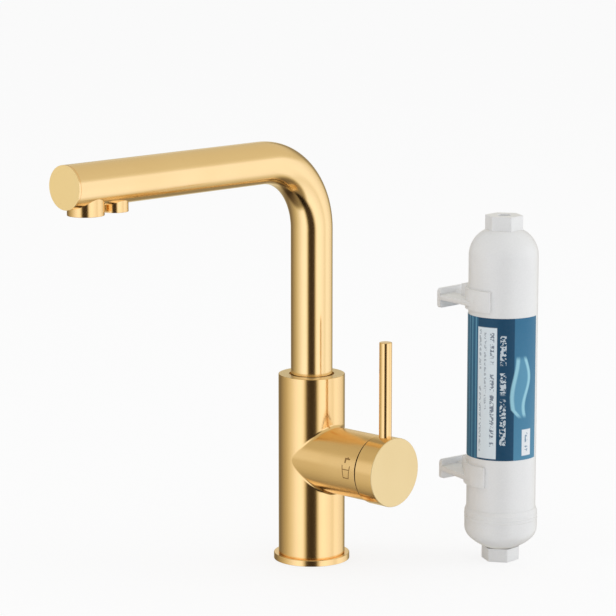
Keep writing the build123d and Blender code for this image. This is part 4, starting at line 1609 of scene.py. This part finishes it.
@dataclass
class HexagonPort:
    """A hexagonal port block with rounded corners and a round hole."""

    centre: Pair
    low: float
    high: float
    opens_up: bool
    apothem: float = 12.0
    corner: float = 1.2
    turn_deg: float = 32.0
    hole_r: float = 5.5
    hole_edge: float = 0.3
    depth: float = 10.0
    edge: float = 0.5

    def _ring(self, inset: float) -> tuple[np.ndarray, np.ndarray]:
        """The block's outline, once round.

        Args:
            inset: how far it is drawn in.

        Returns:
            Its places, and the outward direction at each.
        """
        places, ways = [], []
        arm = (self.apothem - self.corner) / math.cos(math.pi / 6)
        for k in range(6):
            middle = math.radians(self.turn_deg + 60 * k)
            spot = arm * np.array([math.cos(middle), math.sin(middle)])
            for s in np.linspace(-math.pi / 6, math.pi / 6, 7):
                way = np.array([math.cos(middle + s), math.sin(middle + s)])
                places.append(spot + (self.corner - inset) * way)
                ways.append(way)
        return np.array(places + places[:1]), np.array(ways + ways[:1])

    def add_to(self, shell: Shell) -> None:
        """Add the block to a shell: sides, rounded rim, face and hole.

        Args:
            shell: what it is added to.
        """
        near, far = (self.low, self.high) if self.opens_up else (self.high, self.low)
        up = 1.0 if self.opens_up else -1.0
        centre = np.array([*self.centre, 0.0])
        levels = [(0.0, near, 1.0, 0.0), (0.0, far - up * self.edge, 1.0, 0.0)]
        rim = []
        for a in np.linspace(0, math.pi / 2, 5):
            inset, drop = self.edge * (1 - math.cos(a)), self.edge * (1 - math.sin(a))
            rim.append((inset, far - up * drop, math.cos(a), math.sin(a)))

        def band(rows: Sequence[tuple]) -> tuple[np.ndarray, np.ndarray]:
            """A band of the block's side.

            Args:
                rows: inset, height, and the normal's outward and axial parts of each row.

            Returns:
                Its points and normals.
            """
            points, normals = [], []
            for inset, z, out, axial in rows:
                places, ways = self._ring(inset)
                points.append(np.column_stack([places, np.full(len(places), z)]) + centre)
                normals.append(np.column_stack([ways * out, np.full(len(ways), axial * up)]))
            return np.stack(points), np.stack(normals)

        shell.patch(*band(levels)).patch(*band(rim))
        outer, _ = self._ring(self.edge)
        angles = np.arctan2(outer[:, 1], outer[:, 0])
        height = np.full(len(angles), far)
        mouth = self.hole_r + self.hole_edge
        circle = np.column_stack([mouth * np.cos(angles), mouth * np.sin(angles), height])
        face = np.stack([np.column_stack([outer, height]), circle]) + centre
        shell.patch(face, np.broadcast_to([0, 0, up], face.shape).copy())
        spindle = Spindle((*self.centre, far), (0, 0, up), (1, 0, 0))
        bore = Outline().path(
            [
                (mouth, 0),
                (self.hole_r, -self.hole_edge),
                (self.hole_r, -self.depth),
                (0, -self.depth),
            ]
        )
        shell.lathe(bore, spindle, up * angles)


@dataclass
class FilterCartridge:
    """The upright white cartridge: shell, end cap and wrap label.

    The tap's metal reflects none of it, because the photograph shows no reflection of it.
    """

    x: float = CARTRIDGE_AT[0]
    y: float = CARTRIDGE_AT[1]
    shell_r: float = 25.0
    wall: float = 2.5
    shell_low: float = 27.0
    shoulder_z: float = 223.5
    shoulder_r: float = 20.5
    crown_r: float = 13.0
    top: float = 252.5
    cap_r: float = 26.3
    cap_top: float = 39.5
    cap_bevel: float = 2.6
    bevel_edge: float = 0.8
    lip_t: float = 0.2
    lip_edge: float = 0.08
    rings_z: Pair = (31.6, 34.0)
    ring_h: float = 0.2
    ring_profile: tuple[Point, ...] = (
        (-0.45, 0.0, 0.1), (-0.2, 1.0, 0.12), (0.2, 1.0, 0.12), (0.45, 0.0, 0.1),
    )
    dome_z: float = 25.0
    dome_h: float = 17.2
    knuckle: float = 11.0
    dome_wall: float = 3.0
    seat: float = SEAT_GAP
    label_r: float = 25.25
    label_t: float = 0.2
    label_edge: float = 0.06
    label_low: float = LABEL_LOW
    label_high: float = LABEL_HIGH
    label_starts: float = 49.0
    label_turns: float = 330.0
    boss_r: float = 8.53
    boss_z: float = 226.0
    spigot_r: float = 6.03
    spigot_z: float = 235.3
    through_r: float = 3.5
    outlet_sink: float = 4.0
    inlet_sink: float = 1.0
    facets: int = 144

    def _spindle(self) -> Spindle:
        """The cartridge's own axis."""
        return Spindle((self.x, self.y, 0))

    def build(self) -> None:
        """Make the three outer pieces and dress what is inside."""
        self._shell()
        self._end_cap()
        self._label()
        for finish, nodes in (
            (WHITE_PLASTIC, ["block_end_plates"]),
            (CARBON, ["carbon_block"]),
            (FLEECE, ["fleece_wrap", "inlet_pad"]),
            (RUBBER, ["outlet_port_seal"]),
        ):
            dress(finish, *nodes)
            for name in nodes:
                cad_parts[name].visible_glossy = False

    def _settle(self, shell: Shell, name: str, slot: str, node: str, finish: Finish) -> None:
        """Make an outer piece and put it in place of its CAD node.

        Args:
            shell: the piece's mesh under construction.
            name: the piece's name.
            slot: the record's material slot.
            node: the CAD node that it stands for.
            finish: its finish.
        """
        piece = shell.make(name)
        piece.visible_glossy = False
        settle(piece, "filter_cartridge", slot, [node], finish)

    def _shoulder(self, outline: Outline, radius: float, round_r: float, up: bool) -> float:
        """Add a shoulder's arc.

        Args:
            outline: where it goes.
            radius: the wall's radius.
            round_r: the arc's radius.
            up: whether it is drawn from the wall to the crown.

        Returns:
            The crown's height.
        """
        middle = radius - round_r
        top = math.sqrt(round_r**2 - (self.crown_r - middle) ** 2)
        sweep = math.degrees(math.atan2(top, self.crown_r - middle))
        ends = (0.0, sweep) if up else (sweep, 0.0)
        outline.arc((middle, self.shoulder_z), round_r, *ends, 0, 20)
        return self.shoulder_z + top

    def _shell(self) -> None:
        """The hollow shell with its upper port."""
        bore = self.shell_r - self.wall
        outline = Outline().path(
            [
                (bore, self.shell_low),
                (self.shell_r, self.shell_low),
                (self.shell_r, self.shoulder_z),
            ]
        )
        crown = self._shoulder(outline, self.shell_r, self.shoulder_r, True)
        inner_round = self.shoulder_r - self.wall
        inner = self.shoulder_z + math.sqrt(
            inner_round**2 - (self.crown_r - bore + inner_round) ** 2
        )
        outline.path(
            [
                (self.crown_r, crown),
                (self.through_r, crown),
                (self.through_r, self.spigot_z),
                (self.spigot_r, self.spigot_z),
                (self.spigot_r, self.boss_z),
                (self.boss_r, self.boss_z),
                (self.boss_r, inner),
                (self.crown_r, inner),
            ]
        )
        self._shoulder(outline, bore, inner_round, False)
        outline.line((bore, self.shoulder_z), (bore, self.shell_low))
        shell = Shell().lathe(outline, self._spindle(), full_turn(self.facets))
        HexagonPort((self.x, self.y), crown - self.outlet_sink, self.top, True).add_to(shell)
        self._settle(shell, "cartridge_shell", "white_plastic", "filter_shell", WHITE_PLASTIC)

    def _dish(
        self, outline: Outline, radius: float, depth: float, knuckle: float, out: bool
    ) -> float:
        """Add a dished end's two arcs.

        Args:
            outline: where they go.
            radius: the rim's radius.
            depth: how deep the dish is.
            knuckle: the smaller arc's radius.
            out: whether they are drawn from the axis to the rim.

        Returns:
            The height of the dish's lowest point.
        """
        run = radius - knuckle
        crown = (run**2 + depth**2 - knuckle**2) / (2 * (depth - knuckle))
        lean = math.degrees(math.atan2(run, crown - depth))
        arcs = [
            ((0, self.dome_z + crown - depth), crown, -90, lean - 90),
            ((run, self.dome_z), knuckle, lean - 90, 0),
        ]
        for centre, size, first, last in arcs if out else arcs[::-1]:
            outline.arc(centre, size, *((first, last) if out else (last, first)), 0, 16)
        return self.dome_z - depth

    def _end_cap(self) -> None:
        """The screwed end cap: dished below, two fine rings, a bevelled lip on top."""
        outline = Outline()
        lip = self.shell_r + self.seat
        bore = self.shell_r - self.wall
        skirt = self.shell_low - self.seat
        self._dish(outline, self.cap_r, self.dome_h, self.knuckle, True)
        rings = [
            (self.cap_r + self.ring_h * rise, z + off, edge)
            for z in self.rings_z
            for off, rise, edge in self.ring_profile
        ]
        outline.path(
            [
                (self.cap_r, self.dome_z),
                *rings,
                (self.cap_r, self.cap_top - self.cap_bevel, self.bevel_edge),
                (lip + self.lip_t, self.cap_top, self.lip_edge),
                (lip, self.cap_top),
                (lip, skirt),
                (bore, skirt),
                (bore, self.dome_z),
            ]
        )
        depth, knuckle = self.dome_h - self.dome_wall, self.knuckle - self.dome_wall
        inner = self._dish(outline, bore, depth, knuckle, False)
        shell = Shell().lathe(outline, self._spindle(), full_turn(self.facets))
        HexagonPort((self.x, self.y), 0.0, inner - self.inlet_sink, False).add_to(shell)
        self._settle(shell, "cartridge_end_cap", "white_plastic", "filter_end_cap", WHITE_PLASTIC)

    def _label(self) -> None:
        """The wrap label, whose ends stop short of each other."""
        inner = self.label_r - self.label_t
        outline = Outline().path(
            [
                (inner, self.label_low),
                (self.label_r, self.label_low, self.label_edge),
                (self.label_r, self.label_high, self.label_edge),
                (inner, self.label_high),
            ],
            closed=True,
        )
        ends = self.label_starts, self.label_starts + self.label_turns
        angles = np.radians(np.linspace(*ends, self.facets))
        shell = Shell().lathe(outline, self._spindle(), angles)
        for angle, side in ((angles[0], -1.0), (angles[-1], 1.0)):
            radii = np.array([[inner, self.label_r]] * 2)
            heights = np.array([[self.label_low] * 2, [self.label_high] * 2])
            normal = side * np.array([-math.sin(angle), math.cos(angle), 0])
            points = self._spindle().points(radii, np.full_like(radii, angle), heights)
            shell.patch(points, np.broadcast_to(normal, points.shape).copy())
        self._settle(shell, "wrap_label", "label_film", "filter_label", LABEL)


@dataclass
class MountingClips:
    """The two clips that hold the cartridge to a wall."""

    edge: float = 0.35

    def build(self) -> None:
        """Both clips with their edges eased as they come from the mould."""
        for node in ("upper_clip", "lower_clip"):
            piece = eased_copy(f"{node}_moulded", node, self.edge)
            settle(piece, f"{node}_body", "clip_plastic", [node], CLIP_PLASTIC)
            piece.visible_glossy = False


# ---------------------------------------------------------------- studio


@dataclass
class Studio:
    """Camera, floor and light."""

    azimuth: float = 44.0
    elevation: float = 10.98
    target_z: float = 151.0
    distance: float = 2059.0
    focal_px: float = 2857.0
    frame_px: float = 616.0
    target_px: Pair = (311.69, 353.77)
    sensor: float = 36.0
    floor_half: float = 6.0
    floor_drop: float = 0.0002
    floor_glow: float = 0.8
    key_power: float = 6.0
    side_power: float = 14.0
    lamps_aim: Point = (0.02, 0.0, 0.14)
    fill: float = 0.80
    shine: float = 1.2
    ceiling: float = 0.54
    ceiling_tilt: float = 0.07
    ceiling_from: Pair = (0.28, 0.52)
    dusk: float = 0.5
    dusk_reach: float = 0.3
    lift: float = 0.2
    lift_turns: Pair = (84.0, 140.0)
    lift_rise: Pair = (-0.66, 0.30)
    left_lift: float = 0.12
    left_turns: Pair = (80.0, 115.0)
    left_rise: Pair = (-0.08, 0.5)
    soft_turn: float = 8.0
    soft_rise: float = 0.08

    def build(self) -> None:
        """Set everything up round the object."""
        self._camera()
        self._floor()
        self._world()
        self._lamps()
        bpy.context.scene.view_settings.view_transform = "Standard"

    def _back(self) -> Vector:
        """Direction from the object to the camera."""
        a, e = math.radians(self.azimuth), math.radians(self.elevation)
        return Vector((math.sin(a) * math.cos(e), -math.cos(a) * math.cos(e), math.sin(e)))

    def _camera(self) -> None:
        """A long lens aimed so that the tap's middle falls where the photograph has it."""
        data = bpy.data.cameras.new("camera")
        data.sensor_width = self.sensor
        data.lens = self.focal_px / self.frame_px * self.sensor
        data.clip_start, data.clip_end = 0.05, 50.0
        camera = in_scene("camera", data)
        target = Vector((0, 0, self.target_z * MM))
        back = self._back()
        camera.location = target + back * (self.distance * MM)
        a = math.radians(self.azimuth)
        right = Vector((math.cos(a), math.sin(a), 0))
        up = back.cross(right)
        middle = self.frame_px / 2
        off_x = (middle - self.target_px[0]) / self.focal_px
        off_y = (self.target_px[1] - middle) / self.focal_px
        look = -back + right * off_x + up * off_y
        camera.rotation_mode = "QUATERNION"
        camera.rotation_quaternion = look.to_track_quat("-Z", "Y")
        bpy.context.scene.camera = camera

    def _floor(self) -> None:
        """A wide pale floor that keeps the object's shadow and stays out of its reflections."""
        half = self.floor_half
        mesh = bpy.data.meshes.new("floor")
        corners = [(-half, -half), (half, -half), (half, half), (-half, half)]
        mesh.from_pydata([(x, y, -self.floor_drop) for x, y in corners], [], [(0, 1, 2, 3)])
        floor = in_scene("floor", mesh)
        made = bpy.data.materials.new("floor_pale")
        made.use_nodes = True
        board = Board(made.node_tree)
        cloud = board.noise(board.vector(*board.place()), 0.004, 2.0)
        colour = board.blend(cloud * 0.2, (0.97, 0.97, 0.97), (0.95, 0.95, 0.95))
        matt = board.node("ShaderNodeBsdfDiffuse", None, {"Color": colour}).out()
        white = {"Color": (1, 1, 1, 1), "Strength": 1.0}
        glow = board.node("ShaderNodeEmission", None, white).out()
        sight = board.node("ShaderNodeLightPath").out("Is Camera Ray")
        mixing = {0: sight * self.floor_glow, 1: matt, 2: glow}
        mixed = board.node("ShaderNodeMixShader", None, mixing)
        board.node("ShaderNodeOutputMaterial", None, {"Surface": mixed.out()})
        mesh.materials.append(made)
        floor.visible_glossy = False

    def _world(self) -> None:
        """White to the eye, soft and plain as light, and in polished metal the studio's cards."""
        world = bpy.data.worlds.new("studio")
        world.use_nodes = True
        bpy.context.scene.world = world
        board = Board(world.node_tree)
        shine = self._reflected(board)
        tone = self._ramp(board, self._tones(), shine)
        path = board.node("ShaderNodeLightPath")
        glossy = path.out("Is Glossy Ray").high(path.out("Is Transmission Ray"))
        level = shine * glossy + (1 - glossy) * self.fill
        seen = path.out("Is Camera Ray")
        strength = level * (1 - seen) + seen
        colour = board.blend(glossy * (1 - seen), (1.0, 1.0, 1.0), tone)
        lit = board.node("ShaderNodeBackground", None, {"Color": colour, "Strength": strength})
        board.node("ShaderNodeOutputWorld", None, {"Surface": lit.out()})

    def _reflected(self, board: Board) -> Wire:
        """What polished metal sees of the studio: upright cards round it and a ceiling.

        Args:
            board: the world's board.

        Returns:
            The brightness in each direction.
        """
        x, y, z = board.split(board.node("ShaderNodeTexCoord").out("Generated"))
        a = math.radians(self.azimuth)
        right = x * math.cos(a) + y * math.sin(a)
        front = x * math.sin(a) - y * math.cos(a)
        turn = right.turn_from(front)
        cards = self._ramp(board, self._cards(), turn / 360 + 0.5)
        heights = self._ramp(board, self._heights(), z * 0.5 + 0.5)
        lifts = [
            degrees.between(*turns, self.soft_turn) * z.between(*rise, self.soft_rise) * by
            for degrees, turns, rise, by in (
                (turn, self.lift_turns, self.lift_rise, self.lift),
                (-turn, self.left_turns, self.left_rise, self.left_lift),
            )
        ]
        wall = cards * heights + lifts[0] + lifts[1]
        overhead = z.ramp(*self.ceiling_from)
        behind = front.low(0)
        dusk = behind * behind * (-right).ramp(0, self.dusk_reach) * self.dusk
        above = overhead * (right * self.ceiling_tilt + self.ceiling - dusk)
        return (wall * (1 - overhead) + above) * self.shine

    def _ramp(self, board: Board, stops: Sequence[tuple], at: Wire) -> Wire:
        """A colour ramp's value."""
        return board.node("ShaderNodeValToRGB", {"stops": stops}, {0: at}).out(0)

    def _cards(self) -> list[tuple[float, float]]:
        """Brightness round the horizon, from behind the set through its left, front and right."""
        table = [
            (-180, 0.62), (-170, 0.40), (-155, 0.20), (-140, 0.16), (-120, 0.29), (-100, 0.43),
            (-80, 0.62), (-60, 0.82), (-42, 0.98), (-30, 0.92), (-21.5, 0.50), (-16, 0.05),
            (0, 0.035), (14.5, 0.05), (19.5, 0.50), (28, 0.92), (42, 0.98), (60, 0.88), (80, 0.74),
            (100, 0.68), (120, 0.56), (140, 0.42), (150, 0.28), (170, 0.24), (180, 0.62),
        ]
        return [(turn / 360 + 0.5, level) for turn, level in table]

    def _heights(self) -> list[tuple[float, float]]:
        """Brightness from straight down to straight up."""
        table = [
            (-90, 0.2), (-58, 0.25), (-54, 0.40), (-50, 0.72), (-46, 1.0), (-25, 1.0), (90, 1.0),
        ]
        return [(math.sin(math.radians(turn)) / 2 + 0.5, level) for turn, level in table]

    def _tones(self) -> list[tuple[float, Colour]]:
        """Colour of the reflected studio by its brightness, warm where it is dim."""
        return [
            (0.0, (1.0, 0.70, 0.45)), (0.25, (1.0, 0.85, 0.55)), (0.55, (1.0, 0.90, 0.62)),
            (0.70, (1.0, 0.93, 0.72)), (0.85, (1.0, 0.97, 0.85)), (1.0, (1.0, 1.0, 1.0)),
        ]

    def _lamps(self) -> None:
        """A weak soft lamp from the upper left and a stronger one from the right."""
        for name, place, size, power in (
            ("key", (-1.2, -1.8, 2.2), 1.6, self.key_power),
            ("side", (1.9, 1.8, 1.0), 1.4, self.side_power),
        ):
            data = bpy.data.lights.new(name, "AREA")
            data.shape, data.size, data.energy = "DISK", size, power
            lamp = in_scene(name, data)
            lamp.location = place
            lamp.rotation_mode = "QUATERNION"
            aim = Vector(self.lamps_aim) - Vector(place)
            lamp.rotation_quaternion = aim.to_track_quat("-Z", "Y")
            lamp.visible_glossy = False


def main() -> None:
    """Build every part of the object and the studio."""
    logging.basicConfig(level=logging.INFO, format="%(name)s %(message)s")
    for part in (
        TapBase(), TapBody(), Valve(), Handle(), Spout(), Outlets(),
        FilterCartridge(), MountingClips(), Studio(),
    ):
        part.build()


if __name__ == "__main__":
    main()
